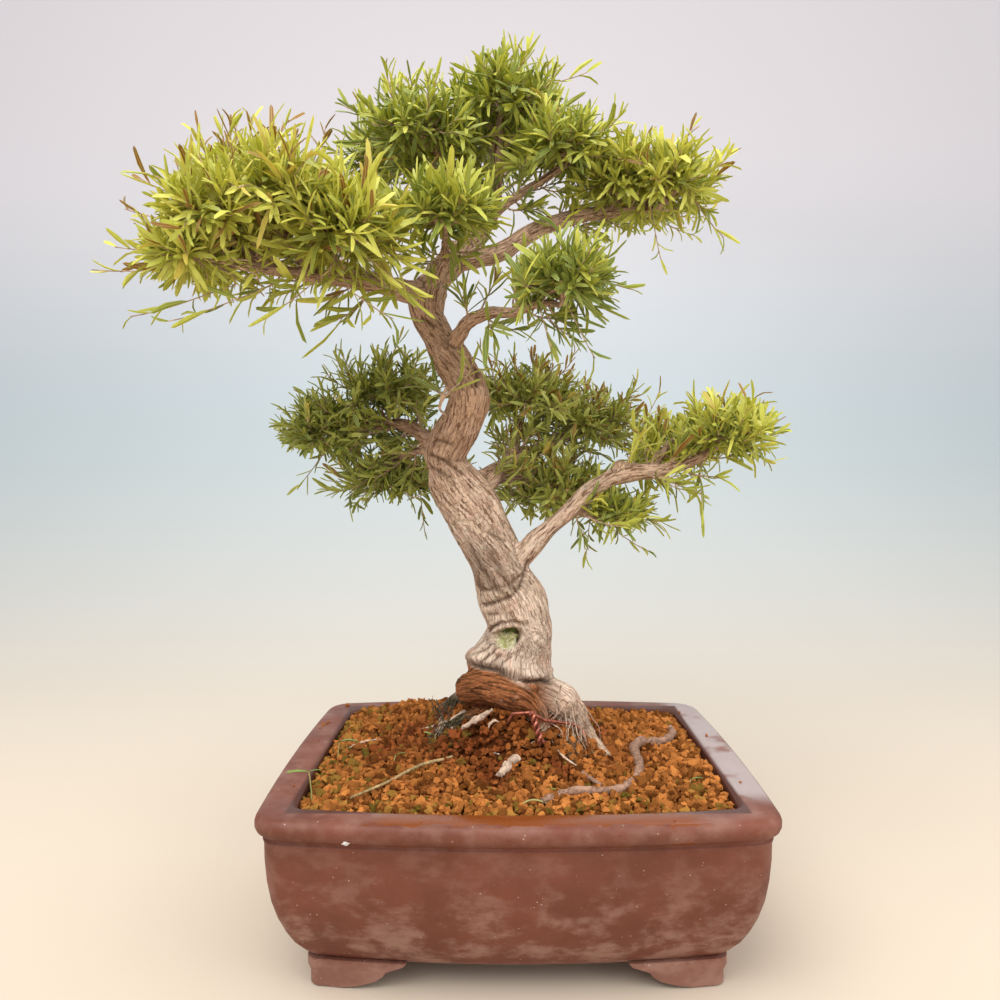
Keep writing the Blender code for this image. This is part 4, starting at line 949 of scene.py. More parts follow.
def leaf_finish(name, foliage, base, glow):
    """Waxy leaf with pale midrib and edges; some are yellow or young; painted light and shade make it
    lighter or darker; light shines through.
    """
    leaf = Finish(name, 0.4, shine=0.36)
    side, along, light_and_chance = leaf.parts(leaf.attribute("blade"))
    across = leaf.combine("ABSOLUTE", side)
    blotch = leaf.noise(leaf.place, 300, 3.0)
    # dark copy of the base colour: painted shade, and the leaves' own darker blotches
    deep = toned(base, 0.36, 0.48, 0.7)
    pale = (0.80, 0.74, 0.22)
    # painted shade and painted light: from the dark copy through the base colour to the light copy, by
    # each leaf's light and chance
    colour = leaf.layered(
        deep,
        (tuple(base), leaf.between(light_and_chance, 0.05, 0.5)),
        (toned(base, 1.40, 1.32, 1.9), leaf.between(light_and_chance, 0.45, 0.82)),
        ((0.70, 0.50, 0.09), leaf.between(light_and_chance, 0.90, 0.97), 0.85),
        (tuple(foliage.young), leaf.between(light_and_chance, 0.990, 0.995)),
        (deep, leaf.between(blotch, 0.45, 0.75), 0.3),
        (pale, leaf.between(across, 0.16, 0.04), 0.55),
        (pale, leaf.between(across, 0.66, 0.92), 0.65),
        ((0.46, 0.30, 0.09), leaf.between(along, 0.12, 0.02), 0.7))
    leaf.wear(colour)
    through = leaf.add("ShaderNodeBsdfTranslucent",
                       [("Color", leaf.mix(0.35, colour, (0.50, 0.62, 0.04)))])
    both = leaf.add("ShaderNodeMixShader", [(0, glow), (1, leaf.shader.outputs[0]),
                                            (2, through.outputs[0])])
    leaf.join(both.outputs[0], leaf.output.inputs["Surface"])
    return leaf.material


def dead_wood_finish(name, base):
    """Dry wood or root with a streaky tone."""
    wood = Finish(name, 0.85, shine=0.2)
    lines = wood.noise(wood.place, 520, 4.0, 0.65)
    broad = wood.noise(wood.place, 90, 3.0)
    colour = wood.layered(toned(base, 0.45), (base, wood.between(lines, 0.35, 0.65)),
                          (toned(base, 1.35), wood.between(broad, 0.5, 0.75)))
    return wood.wear(colour, 0.85, wood.bump(lines, 0.0008, 0.8))


def copper_finish(details):
    """Soft copper with duller spots."""
    copper = Finish("copper_wire", 0.34, 0.75)
    spots = copper.noise(copper.place, 240, 3.0)
    base = tuple(details.copper)
    colour = copper.mix(copper.between(spots, 0.4, 0.7), base, toned(base, 0.45))
    rough = copper.plus(copper.times(spots, 0.3), 0.22)
    return copper.wear(colour, rough, copper.bump(spots, 0.0002, 0.4))


def pot_outline(pot, inset, height, corner_steps, bow_steps):
    """Outline of the pot at a height, inset from the rim, with arcs and bowed sides."""
    half_x = pot.length / 2 - inset - pot.bow_ends
    half_y = pot.depth / 2 - inset - pot.bow_front
    radius = max(pot.corner - inset * 0.6, 0.008)
    corners = []
    for quarter in range(4):
        sign_x = 1 if quarter in (0, 3) else -1
        sign_y = 1 if quarter in (0, 1) else -1
        middle = Vector((sign_x * (half_x - radius), sign_y * (half_y - radius), height))
        arc = []
        for k in range(corner_steps + 1):
            angle = (quarter + k / corner_steps) * math.pi / 2
            arc.append(middle + Vector((math.cos(angle), math.sin(angle), 0)) * radius)
        corners.append(arc)
    ring = []
    for quarter, arc in enumerate(corners):
        ring.extend(arc)
        end = corners[(quarter + 1) % 4][0]
        turn = (quarter + 1) * math.pi / 2
        outward = Vector((math.cos(turn), math.sin(turn), 0))
        bow = pot.bow_front if quarter in (0, 2) else pot.bow_ends
        for k in range(1, bow_steps + 1):
            share = k / (bow_steps + 1)
            ring.append(arc[-1].lerp(end, share) + outward * bow * (1 - (2 * share - 1) ** 2))
    return [point + POT_MIDDLE for point in ring]


def arch_bar(name, outline, half_length, along_x):
    """Bar with a mirrored outline, to cut the arch between two feet."""
    full = outline + [(-across, height) for across, height in reversed(outline)]
    rings = []
    for end in (-half_length, half_length):
        ring = []
        for across, height in full:
            place = (end, across * MM, height * MM) if along_x else (across * MM, end, height * MM)
            ring.append(POT_MIDDLE + Vector(place))
        rings.append(ring)
    bm = bmesh.new()
    sweep(bm, rings)
    return placed(name, mesh_of(bm, name))


def make_pot(pot):
    """Pot body and cloud feet, with drain holes through the floor."""
    bm = bmesh.new()
    walls = [(inset * MM, height * MM) for inset, height in OUTER_WALL + INNER_WALL]
    sweep(bm, [pot_outline(pot, inset, height, 10, 21) for inset, height in walls])
    body = placed("pot_body", mesh_of(bm, "pot_body"))
    bm = bmesh.new()
    sweep(bm, [pot_outline(pot, (FOOT_INSET + lean) * MM, height * MM, 10, 21)
               for lean, height in ((1.2, 0), (0, 1.2), (0, 9), (-1.5, 14), (-1.5, FOOT_TOP))])
    feet = placed("feet", mesh_of(bm, "feet"))
    cut(feet, arch_bar("arch_front", ARCH_LONG, pot.depth, False), "DIFFERENCE")
    cut(feet, arch_bar("arch_ends", ARCH_SHORT, pot.length, True), "DIFFERENCE")
    cut(body, feet, "UNION")
    for side in (-DRAIN_X, DRAIN_X):
        bm = bmesh.new()
        bmesh.ops.create_cone(bm, cap_ends=True, segments=32, radius1=DRAIN_RADIUS * MM,
                              radius2=DRAIN_RADIUS * MM, depth=0.03,
                              matrix=Matrix.Translation(spot(side, 0, 25)))
        cut(body, placed("drain", mesh_of(bm, "drain")), "DIFFERENCE")
    mesh = body.data
    bpy.data.objects.remove(body)
    mesh.materials.clear()
    add_piece("clay_pot", mesh, [clay_finish(pot)], ["pot"], 32)
    lime = Finish("lime", 0.8)
    grain = lime.noise(lime.place, 900, 3.0)
    lime.wear(lime.mix(grain, (0.36, 0.31, 0.27), (0.66, 0.61, 0.56)))
    chip = scattered(granule_template(2, 4), [(spot(*LIME_CHIP), Matrix.Identity(3),
                                               (0.0020, 0.0007, 0.0010), (0, 0, 0))])
    add_piece("lime_chip", chip, [lime.material])


def make_netting():
    """Plain black netting over the drain holes: the frame's own pieces get a finish."""
    net = Finish("netting", 0.5)
    grain = net.noise(net.place, 800, 3.0)
    net.wear(net.mix(grain, (0.012, 0.012, 0.012), (0.055, 0.055, 0.055)), 0.5,
             net.bump(grain, 0.0002, 0.4))
    for name in ("drain_mesh_left", "drain_mesh_right"):
        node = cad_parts[name]
        node.data.materials.clear()
        node.data.materials.append(net.material)


def soil_height(x, y):
    """Height of the soil, in millimetres: mound, rise at the back, pile by the root, low edge."""
    from_trunk = math.hypot(x - MOUND_MIDDLE[0], y - MOUND_MIDDLE[1]) / 50
    from_rise = math.hypot(x + 75, y - 80) / 60
    from_pile = math.hypot((x + 12) / 32, (y + 15) / 17)
    edge = min(144 - abs(x), 111 - abs(y))
    return (117 + 40 / (1 + from_trunk ** 3) + 9 * math.exp(-from_rise ** 2)
            + 13 * math.exp(-from_pile ** 2) - 4 * max(0.0, 1 - max(edge, 0) / 9))


def wood_routes():
    """Every route of the tree's wood, the turns of its grain in a metre, and if it is a root."""
    routes = [(rows_of(TRUNK), 2.2, False)]
    routes += [(rows_of(table), 1.0, True) for table in ROOTS]
    routes += [(rows_of(table), 1.4, False) for table in BRANCHES.values()]
    return routes


def distance_to_line(x, z, line):
    """Distance of points to a broken line, as seen from the front."""
    best = np.full(len(x), 1e9)
    for (x1, z1), (x2, z2) in zip(line, line[1:]):
        dx = x2 - x1
        dz = z2 - z1
        share = np.clip(((x - x1) * dx + (z - z1) * dz) / (dx * dx + dz * dz), 0, 1)
        best = np.minimum(best, np.hypot(x - x1 - share * dx, z - z1 - share * dz))
    return best


def wood_skin(wood):
    """All routes as tubes, melted into one skin."""
    bm = bmesh.new()
    for number, (rows, _, _) in enumerate(wood_routes()):
        fine = smooth_rows(rows, 4)
        sides = int(min(32, max(10, rows[0][3] * 1300)))
        sweep(bm, round_rings(fine, sides, 0.22, number * 3.7))
    thing = placed("wood_tubes", mesh_of(bm, "wood_tubes"))
    modifier = thing.modifiers.new("melt", "REMESH")
    modifier.mode = "VOXEL"
    modifier.voxel_size = wood.voxel
    skin = evaluated_mesh(thing)
    bpy.data.objects.remove(thing)
    bm = bmesh.new()
    bm.from_mesh(skin)
    for _ in range(4):
        bmesh.ops.smooth_vert(bm, verts=bm.verts, factor=0.5, use_axis_x=True,
                              use_axis_y=True, use_axis_z=True)
    bm.to_mesh(skin)
    bm.free()
    return skin


def grain_of(points):
    """For each point: its place on the straightened, untwisted wood, and its radius."""
    axis = []
    for rows, turns, is_root in wood_routes():
        fine = smooth_rows(rows, 6)
        middles = [Vector(row[:3]) for row in fine]
        length = 0.0
        for i, (_, side, across) in enumerate(carried_frames(middles)):
            length += (middles[i] - middles[i - 1]).length if i else 0.0
            axis.append((middles[i], fine[i][3], side, across, length, turns, is_root))
    whole = KDTree(len(axis))
    stem = KDTree(len(axis))
    for i, row in enumerate(axis):
        whole.insert(row[0], i)
        if not row[6]:
            stem.insert(row[0], i)
    whole.balance()
    stem.balance()
    grain = np.empty((len(points), 3))
    radii = np.empty(len(points))
    for i, point in enumerate(points):
        place = Vector(point)
        limit = np.interp((place.x - POT_MIDDLE.x) / MM, *ROOT_LINE) * MM
        found = (stem if place.z > limit else whole).find_n(place, 10)
        nearest = min(found, key=lambda hit: hit[2] - axis[hit[1]][1])
        middle, radius, side, across, length, turns, _ = axis[nearest[1]]
        away = place - middle
        angle = math.atan2(away.dot(across), away.dot(side)) + turns * length * 2 * math.pi
        grain[i] = (radius * math.cos(angle), radius * math.sin(angle), length)
        radii[i] = radius
    return grain, radii


def carve(points, normals, grain, radii, wood):
    """Move the skin's points by the bark's fissures, folds, swellings and scar, and paint shade into
    its fissures and creases.
    """
    local = (points - np.array(POT_MIDDLE)) / MM
    x, y, z = local.T
    front = smoothstep(0.15, 0.55, -normals[:, 1])
    shift = np.zeros(len(points))
    hollow_shade_and_dark_stretches = np.zeros(len(points))
    for i, place in enumerate(grain):
        seam = noise.noise(Vector((place[0], place[1], place[2] * 0.16)) * 260)
        lump = noise.noise(Vector(points[i]) * 55)
        depth = max(0.0, 1 - abs(seam) / 0.22)
        size = min(1.0, radii[i] / 0.018)
        shift[i] = size * (lump * 0.0013 - depth * wood.fissure)
        # painted shade in the fissures, over the bark's own dark fissure colour
        hollow_shade_and_dark_stretches[i] = depth * 0.45 * size
    for line, depth, width in FOLDS:
        away = distance_to_line(x, z, line)
        groove = np.exp(-(away / width) ** 2)
        lip = np.exp(-((away - 2.4 * width) / (1.2 * width)) ** 2)
        shift += front * MM * depth * (0.12 * lip - groove)
        # painted shade in each fold's crease
        hollow_shade_and_dark_stretches = np.maximum(hollow_shade_and_dark_stretches, front * groove)
    for middle, radius, height in SWELLINGS:
        away = np.linalg.norm(local - np.array(middle), axis=1)
        shift += MM * height * np.exp(-(away / radius) ** 2)
    rise = z - SCAR_MIDDLE[1]
    aside = x - SCAR_MIDDLE[0] - SCAR_LEAN * rise
    ring = np.hypot(aside / SCAR_HALF[0], rise / SCAR_HALF[1])
    scar = front * smoothstep(1.12, 0.85, ring)
    outer = smoothstep(6, -6, aside - rise) * smoothstep(-9, -3, rise)
    rim = np.exp(-((ring - 1.3) / 0.2) ** 2) + 0.8 * outer * np.exp(-((ring - 1.95) / 0.2) ** 2)
    fold = outer * np.exp(-((ring - 1.62) / 0.14) ** 2)
    shift += MM * front * (SCAR_RIM * rim - fold)
    shift -= MM * SCAR_DEPTH * scar
    # painted shade in the fold round the scar, none on the scar itself
    hollow_shade_and_dark_stretches = np.maximum(hollow_shade_and_dark_stretches, 0.6 * front * fold) * (1 - scar)
    # darker, browner stretches on the front left of the trunk
    for low, high, strength in DARK_STRETCHES:
        darker_stretch = smoothstep(*low, z) * smoothstep(*high, z) * smoothstep(14, -14, x + 0.4 * (z - 260))
        hollow_shade_and_dark_stretches = np.maximum(hollow_shade_and_dark_stretches, strength * front * darker_stretch * (0.75 + 0.25 * np.cos(z / 3 + x / 2)))
    below = smoothstep(2, -3, z - np.interp(x, *ROOT_LINE))
    red = below * smoothstep(40, 14, x) * smoothstep(140, 150, z) * smoothstep(44, 20, y)
    moss = smoothstep(-28, -44, x) * smoothstep(160, 146, z) * smoothstep(80, 50, y)
    return points + normals * shift[:, None], hollow_shade_and_dark_stretches, np.stack([red, scar, moss], 1)


def make_wood(wood):
    """Trunk, roots and branches in one carved skin."""
    mesh = wood_skin(wood)
    points = points_of(mesh)
    grain, radii = grain_of(points)
    moved, hollow_shade_and_dark_stretches, tint = carve(points, points_of(mesh, "normal"), grain, radii, wood)
    mesh.vertices.foreach_set("co", moved.astype(np.float32).ravel())
    mesh.update()
    mesh.materials.clear()
    store(mesh, "grain", grain)
    store(mesh, "tint", tint)
    store(mesh, "hollow_shade_and_dark_stretches", hollow_shade_and_dark_stretches)
    add_piece("tree_wood", mesh, [bark_finish(wood)], ["trunk"], 80)


def inside_outline(x, y, outline):
    """Whether a place lies inside a closed outline."""
    inside = False
    for a, b in zip(outline, outline[1:] + outline[:1]):
        if (a.y > y) != (b.y > y) and x < (b.x - a.x) * (y - a.y) / (b.y - a.y) + a.x:
            inside = not inside
    return inside


def dampness(x, y):
    """0 for dry soil out by the rim, 1 for damp soil by the trunk."""
    reach = math.hypot((x + 26) / 96, (y - 2) / 62)
    ragged = 0.9 * noise.noise(Vector((x, y, 3)) / 30) + 0.5 * noise.noise(Vector((x, y, 9)) / 8)
    return min(1.0, max(0.0, 1.4 - reach + ragged))


def scattered(template, copies):
    """One mesh of copies of a small one, each a row of its place, turn, sizes and tones."""
    points = points_of(template)
    faces = [tuple(face.vertices) for face in template.polygons]
    count = len(points)
    rows = []
    all_faces = []
    for i, (place, turn, size, _) in enumerate(copies):
        shape = np.array(turn @ Matrix.Diagonal(size))
        rows.append(points @ shape.T + np.array(place))
        all_faces.extend(tuple(v + i * count for v in face) for face in faces)
    mesh = bpy.data.meshes.new("scattered")
    mesh.from_pydata(np.concatenate(rows).tolist(), [], all_faces)
    store(mesh, "granule", np.repeat(np.array([row[3] for row in copies]), count, axis=0))
    return mesh


def granule_template(subdivisions, seed):
    """One rough lump, a unit in radius."""
    bm = bmesh.new()
    bmesh.ops.create_icosphere(bm, subdivisions=subdivisions, radius=1)
    for vert in bm.verts:
        vert.co *= 1 + 0.75 * noise.noise(vert.co * 1.5 + Vector((seed, 0, 0)))
    return mesh_of(bm, "granule")


def make_soil(pot, soil):
    """Soil body under the granules, then the granules in two finenesses."""
    make_soil_body(pot, soil)
    draw = random.Random(5)
    outline = pot_outline(pot, 25.5 * MM, 0, 6, 9)
    wood = surface_tree(bpy.data.objects["tree_wood"])
    fine = []
    coarse = []
    columns = int(pot.length / soil.pitch) + 2
    rows = int(pot.depth / (soil.pitch * ROW_STEP)) + 2
    for layer, row, column in product(range(3), range(rows), range(columns)):
        x = POT_LOW.x + (column + 0.5 * (row % 2) + draw.uniform(-SCATTER, SCATTER)) * soil.pitch
        y = POT_LOW.y + (row * ROW_STEP + draw.uniform(-SCATTER, SCATTER)) * soil.pitch
        place = Vector((x, y, 0)) - POT_MIDDLE
        local_x = place.x / MM
        local_y = place.y / MM
        radius = draw.uniform(soil.granule_low, soil.granule_high) * (UPPER_SIZE if layer else 1)
        near_root = math.hypot(local_x / 70, (local_y + 10) / 44) < 1
        if draw.random() < LARGE_SHARE and not layer:
            radius *= draw.uniform(1.15, 1.55 if local_y < FRONT_LINE else 1.3)
        turn = Matrix.Rotation(draw.uniform(0, TURN_RANGE), 3, Vector((
            draw.uniform(-1, 1), draw.uniform(-1, 1), draw.uniform(-1, 1))).normalized())
        flat = [radius * draw.uniform(0.8, 1.15) for _ in range(3)]
        tone = draw.random()
        sink = draw.uniform(-0.6, 0.4) * radius
        if near_root:
            flat = [size * ROOT_SIZE for size in flat]
        if not inside_outline(x, y, outline) or (layer == 2 and not near_root):
            continue
        height = soil_height(local_x, local_y) * MM + sink + (0.0016 if layer == 1 else 0)
        middle = Vector((x, y, height))
        near, normal, _, away = wood.find_nearest(middle)
        if (middle - near).dot(normal) < 0 and away > radius * 0.3:
            continue
        green = 0.38 if draw.random() < moss_chance(local_x, local_y) else 0.0
        group = fine if local_y < FRONT_LINE and radius > FINE_LIMIT else coarse
        group.append((middle, turn, flat, (tone, dampness(local_x, local_y), green)))
    for x, y, z, radius in RIM_CRUMBS:
        turn = Matrix.Rotation(x, 3, Vector((0.6, 0.64, 0.48)))
        flat = [radius * MM, radius * MM * 0.8, radius * MM * 0.7]
        fine.append((spot(x, y, z), turn, flat, (0.6, 0.2, 0)))
    finish = soil_finish(soil, "granules")
    for name, level, group in (("soil_granules_front", 2, fine), ("soil_granules", 1, coarse)):
        mesh = scattered(granule_template(level, level), group)
        add_piece(name, mesh, [finish], ["soil"], 28)


def moss_chance(x, y):
    """How often a granule is mossy: along the left and front edge, and by the trunk."""
    edge = max(0.0, (-x - 95) / 60) + max(0.0, (-y - 78) / 60)
    trunk = math.exp(-((x + 50) ** 2 + (y - 4) ** 2) / 260)
    return min(0.7, 0.03 + 0.5 * edge + 0.6 * trunk)


def make_soil_body(pot, soil):
    """The mass of the soil: up the pot's inner wall, then in to the trunk."""
    rings = []
    for inset, height in reversed(INNER_WALL[3:]):
        rings.append(pot_outline(pot, (inset + 0.3) * MM, min(height + 0.3, 112) * MM, 6, 15))
    top = pot_outline(pot, 24.6 * MM, 0, 6, 15)
    middle = spot(*MOUND_MIDDLE, 0)
    for step in range(36):
        share = 1 - step / 36
        ring = []
        for point in top:
            place = middle.lerp(point, share)
            x = (place.x - POT_MIDDLE.x) / MM
            y = (place.y - POT_MIDDLE.y) / MM
            lump = noise.noise(Vector((x, y, 0)) / 4) * 1.2
            ring.append(Vector((place.x, place.y, (soil_height(x, y) - 2.6 + lump) * MM)))
        rings.append(ring)
    bm = bmesh.new()
    sweep(bm, rings)
    mesh = mesh_of(bm, "soil_body")
    places = (points_of(mesh) - np.array(POT_MIDDLE)) / MM
    # painted shade: the mass shows only between the granules, so it takes the darkest tone, and it is
    # at least half damp
    tones = [(0.1, min(1.0, 0.5 + dampness(x, y)), 0.0) for x, y, _ in places]
    store(mesh, "granule", tones)
    add_piece("soil_body", mesh, [soil_finish(soil, "soil_mass")], ["soil"], 60)


def leaf_template():
    """One leaf as rings of two edges and a keel: across, along and lift in shares."""
    bm = bmesh.new()
    rings = []
    for along, width in LEAF_OUTLINE:
        lift = LEAF_FOLD * width
        rings.append([Vector((-width, along, lift)), Vector((0, along, -1)),
                      Vector((width, along, lift))])
    sweep(bm, rings, Vector((0, 1, 0)))
    return mesh_of(bm, "leaf_template")


def bent_leaves(rows, shape):
    """Corners of every leaf: the flat shape is drooped, curled and twisted along its length."""
    rows = np.array(rows)[:, None, :]
    base = rows[..., 0:3]
    heading = rows[..., 3:6]
    side = rows[..., 6:9]
    lift = rows[..., 9:12]
    length, width, droop, curl, twist = (rows[..., k:k + 1] for k in range(12, 17))
    across, along, height = (shape[None, :, k:k + 1] for k in range(3))
    droop = np.where(abs(droop) < 0.001, 0.001, droop)
    angle = droop * along
    normal = heading * np.sin(angle) + lift * np.cos(angle)
    roll = twist * along
    turned_side = side * np.cos(roll) + normal * np.sin(roll)
    turned_up = normal * np.cos(roll) - side * np.sin(roll)
    middle = base + heading * length * np.sin(angle) / droop
    middle = middle - lift * length * (1 - np.cos(angle)) / droop
    middle = middle + side * curl * length * along ** 2
    fold = np.where(height < -0.5, -LEAF_THICKNESS, height * width)
    return middle + turned_side * across * width / 2 + turned_up * fold


def carrier_of(branch, centre):
    """Where a spray's stem starts and the way it points: a branch end or its side."""
    rows = rows_of(BRANCHES[branch])
    points = [Vector(row[:3]) for row in rows]
    best = None
    for start, end in zip(points, points[1:]):
        span = end - start
        share = max(0.0, min(1.0, (centre - start).dot(span) / span.length_squared))
        place = start + span * share
        if best is None or (place - centre).length < (best - centre).length:
            best = place
    if (best - points[-1]).length < END_REACH:
        direction = (points[-1] - points[-2]).normalized()
        return points[-1] - direction * 0.004, direction, rows[-1][3]
    return best, (centre - best).normalized(), SPUR_RADIUS


def bezier_rows(start, leave, end, arrive, radius, steps):
    """Rows of a twig that leaves one way, arrives another and gets thinner."""
    reach = (end - start).length / 3
    first = start + leave * reach
    second = end - arrive * reach
    rows = []
    for step in range(steps + 1):
        t = step / steps
        place = (start * (1 - t) ** 3 + first * 3 * t * (1 - t) ** 2
                 + second * 3 * t * t * (1 - t) + end * t ** 3)
        rows.append([*place, radius * (1 - 0.6 * t)])
    return np.array(rows)


class Spray:
    """A leafy spray under construction: twigs in a bmesh, and rows that describe leaves."""

    def __init__(self, foliage, number, start, direction, radius, centre, reach, light,
                 scale=1.0):
        self.foliage = foliage
        self.number = number
        self.centre = centre
        self.reach = reach + Vector(TWIG_REACH) * foliage.spread
        self.light = light
        self.draw = random.Random(number + 77)
        self.lead = Vector((centre.x - start.x, centre.y - start.y, 0)).normalized()
        self.size = scale * (1 - (centre.y - POT_MIDDLE.y) / FAR_SHRINK)
        self.leaves = []
        self.bm = bmesh.new()
        bend = start + direction * (centre - start).length * 0.4
        tip = bend.lerp(centre, 0.8)
        stem = [[*start, radius], [*bend, radius * 0.7], [*tip, STEM_TIP_RADIUS]]
        self.stem = smooth_rows(np.array(stem), 6)
        self.carriers = [self.stem]
        sweep(self.bm, round_rings(self.stem, 7, 0.15, number))

    def share(self, place):
        """A place as shares of the spray's half sizes, from its middle."""
        away = place - self.centre
        return Vector((away.x / self.reach.x, away.y / self.reach.y, away.z / self.reach.z))

    def growth(self, place):
        """The way that a twig grows at a place: outwards, on from the stem, and up."""
        share = self.share(place)
        stray = Vector([self.draw.uniform(-0.4, 0.4) for _ in range(3)])
        return (share * 0.6 + self.lead * 0.35 + UP * (0.6 + 0.8 * share.z) + stray).normalized()

    def skin(self):
        """The size of the spray's skin, as a share of that of a spray of middle size."""
        x, y, z = self.reach
        return (x * y + y * z + z * x) / MIDDLE_SKIN

    def shell_place(self, level, angle, depth):
        """A place at a height and bearing, as deep as given on the way to the spray's skin."""
        flat = math.sqrt(max(0.0, 1 - level * level))
        out = Vector((flat * math.cos(angle), flat * math.sin(angle), level))
        depth *= 1 + 0.4 * noise.noise(out * 1.7 + Vector((self.number * 5.3, 0, 0)))
        return self.centre + self.reach * out * depth

    def twig(self, start, leave, end, arrive, radius, leaves, sides, steps):
        """A leafy twig from one place to another."""
        rows = bezier_rows(start, leave, end, arrive, radius, steps)
        sweep(self.bm, round_rings(rows, sides))
        self.leaf_rows(rows, leaves)
        return rows

    def grow(self, main_twigs, side_twigs, leaves):
        """Main twigs off the stem, then side twigs off the main ones."""
        for k in range(main_twigs):
            level = 0.97 - 1.5 * (k + 0.5) / main_twigs
            end = self.shell_place(level, k * GOLDEN_ANGLE + self.number, MAIN_DEPTH)
            share = 0.1 + 0.88 * (k + 0.5) / main_twigs
            at = int((0.4 + 0.6 * share) * (len(self.stem) - 2))
            start = Vector(self.stem[at][:3])
            leave = (Vector(self.stem[at + 1][:3]) - start).normalized()
            self.carriers.append(self.twig(start, leave, end, self.growth(end), MAIN_TWIG_RADIUS,
                                           leaves, 5, 9))
        side_twigs = int(side_twigs * self.skin())
        for k in range(side_twigs):
            level = 1 - 1.72 * (k + 0.5) / side_twigs
            angle = k * GOLDEN_ANGLE + self.number * 1.7 + self.draw.uniform(-0.4, 0.4)
            wild = self.draw.random() < WILD_SHARE
            end = self.shell_place(level, angle,
                                   self.draw.uniform(*(WILD_DEPTH if wild else SIDE_DEPTH)))
            start, leave, radius = self.joint(end, self.draw.uniform(0.1, 0.6))
            self.twig(start, leave, end, self.growth(end), min(radius, SIDE_TWIG_RADIUS), leaves,
                      3, 5)

    def clothe(self, rows, low, high, count):
        """Short leafy twigs straight off the stretch of the branch between two shares."""
        draw = self.draw
        points = [Vector(row[:3]) for row in smooth_rows(rows, 4)]
        last = len(points) - 1
        for k in range(count):
            share = low + (high - low) * (k + draw.uniform(0.2, 0.8)) / count
            at = min(last - 1, int(share * last))
            along = (points[at + 1] - points[at]).normalized()
            stray = Vector([draw.gauss(0, 1) for _ in range(3)])
            out = (stray - along * stray.dot(along)).normalized()
            heading = (out + along * 0.6 + UP * 0.35).normalized()
            end = points[at] + heading * draw.uniform(0.020, 0.042)
            arrive = (heading + UP * draw.uniform(-0.2, 0.6)).normalized()
            self.twig(points[at], out, end, arrive, SHOOT_RADIUS, CLOTHING_LEAVES, 3, 5)

    def joint(self, end, share):
        """A point partway along the carrier whose tip is nearest to a twig's end."""
        rows = min(self.carriers[1:], key=lambda rows: (Vector(rows[-1][:3]) - end).length)
        at = int(share * (len(rows) - 2))
        start = Vector(rows[at][:3])
        return start, (Vector(rows[at + 1][:3]) - start).normalized(), rows[at][3]

    def long_shoot(self, via, end, leaves):
        """A shoot that stands clear of the spray, by way of a given place."""
        start, leave, radius = self.joint(via, 0.3)
        half = bezier_rows(start, leave, via, (end - start).normalized(),
                           min(radius, SHOOT_RADIUS), 4)
        arrive = (end - via).normalized()
        rest = bezier_rows(via, arrive, end, (arrive + UP * 0.15).normalized(), half[-1][3], 8)
        rest[:, 3] = np.linspace(half[-1][3], SHOOT_TIP_RADIUS, len(rest))
        rows = np.vstack([half[:-1], rest])
        sweep(self.bm, round_rings(rows, 5))
        self.leaf_rows(rows, leaves)

    def leaf_rows(self, rows, count):
        """Leaves round a twig, wide open at its foot and closer at its tip."""
        draw = self.draw
        points = [Vector(row[:3]) for row in rows]
        frames = carried_frames(points)
        phase = draw.uniform(0, 2 * math.pi)
        last = len(points) - 1
        height = self.share(points[-1]).z
        depth = min(1.2, self.share(points[-1]).length)
        for k in range(count):
            along_share = (k + draw.uniform(0.4, 1.0)) / count
            share = BARE_SHARE + (1 - BARE_SHARE) * along_share
            at = min(last - 1, int(share * last))
            base = points[at].lerp(points[at + 1], share * last - at)
            along, side, across = frames[min(at + 1, last)]
            angle = phase + k * GOLDEN_ANGLE
            out = side * math.cos(angle) + across * math.sin(angle)
            opening = math.radians(draw.uniform(0.6, 1.35) * (54 - 32 * along_share))
            heading = along * math.cos(opening) + out * math.sin(opening)
            face = along * math.sin(opening) - out * math.cos(opening)
            rise = draw.uniform(0.0, 0.5) if height > -0.4 else draw.uniform(-0.3, 0.2)
            heading = (heading + UP * rise).normalized()
            face = face + UP * 0.7 + Vector([draw.uniform(-0.45, 0.45) for _ in range(3)])
            self.add_leaf(base, heading, face, along_share, height, depth)

    def add_leaf(self, base, heading, face, share, height, depth):
        """The row of one leaf, with painted light: lighter high up and far out in the spray."""
        draw = self.draw
        foliage = self.foliage
        span = foliage.length_high - foliage.length_low
        length = (foliage.length_low + span * draw.random() ** 1.3) * (1 - 0.3 * share ** 3)
        length *= self.size * (LONG_SIZE if draw.random() < LONG_SHARE else 1)
        # painted light and shade: by the spray's light, lighter higher and farther out, darker inside,
        # with a random spread
        light_and_chance = draw.gauss(abs(self.light), TONE_SPREAD) + 0.16 * (share - 0.5)
        light_and_chance += 0.12 * height + 0.26 * (depth - 0.85)
        width = foliage.width * draw.uniform(0.6, 1.2) * math.sqrt(length / foliage.length_high)
        if height > 0.3 and share > 0.7 and draw.random() < YOUNG_SHARE:
            light_and_chance = 1
            length *= YOUNG_SIZE
            width *= YOUNG_SIZE
        side = heading.cross(face)
        if side.length < 0.05:
            side = heading.orthogonal()
        side.normalize()
        lift = side.cross(heading)
        self.leaves.append([*base, *heading, *side, *lift, length, width,
                            draw.uniform(-0.6, 1.15), draw.uniform(-0.2, 0.2),
                            draw.uniform(-0.8, 0.8), min(0.999, max(0.0, light_and_chance))])

    def finish(self, name, finishes, template, wood_tree, nodes):
        """Join twigs and leaves in one piece."""
        rows = [row for row in self.leaves if not strays(row, wood_tree)]
        light = "sun" if self.light > 0 else "shade"
        leafy_piece(name, self.bm, rows, template, [finishes[light], finishes["twig"]],
                    nodes)


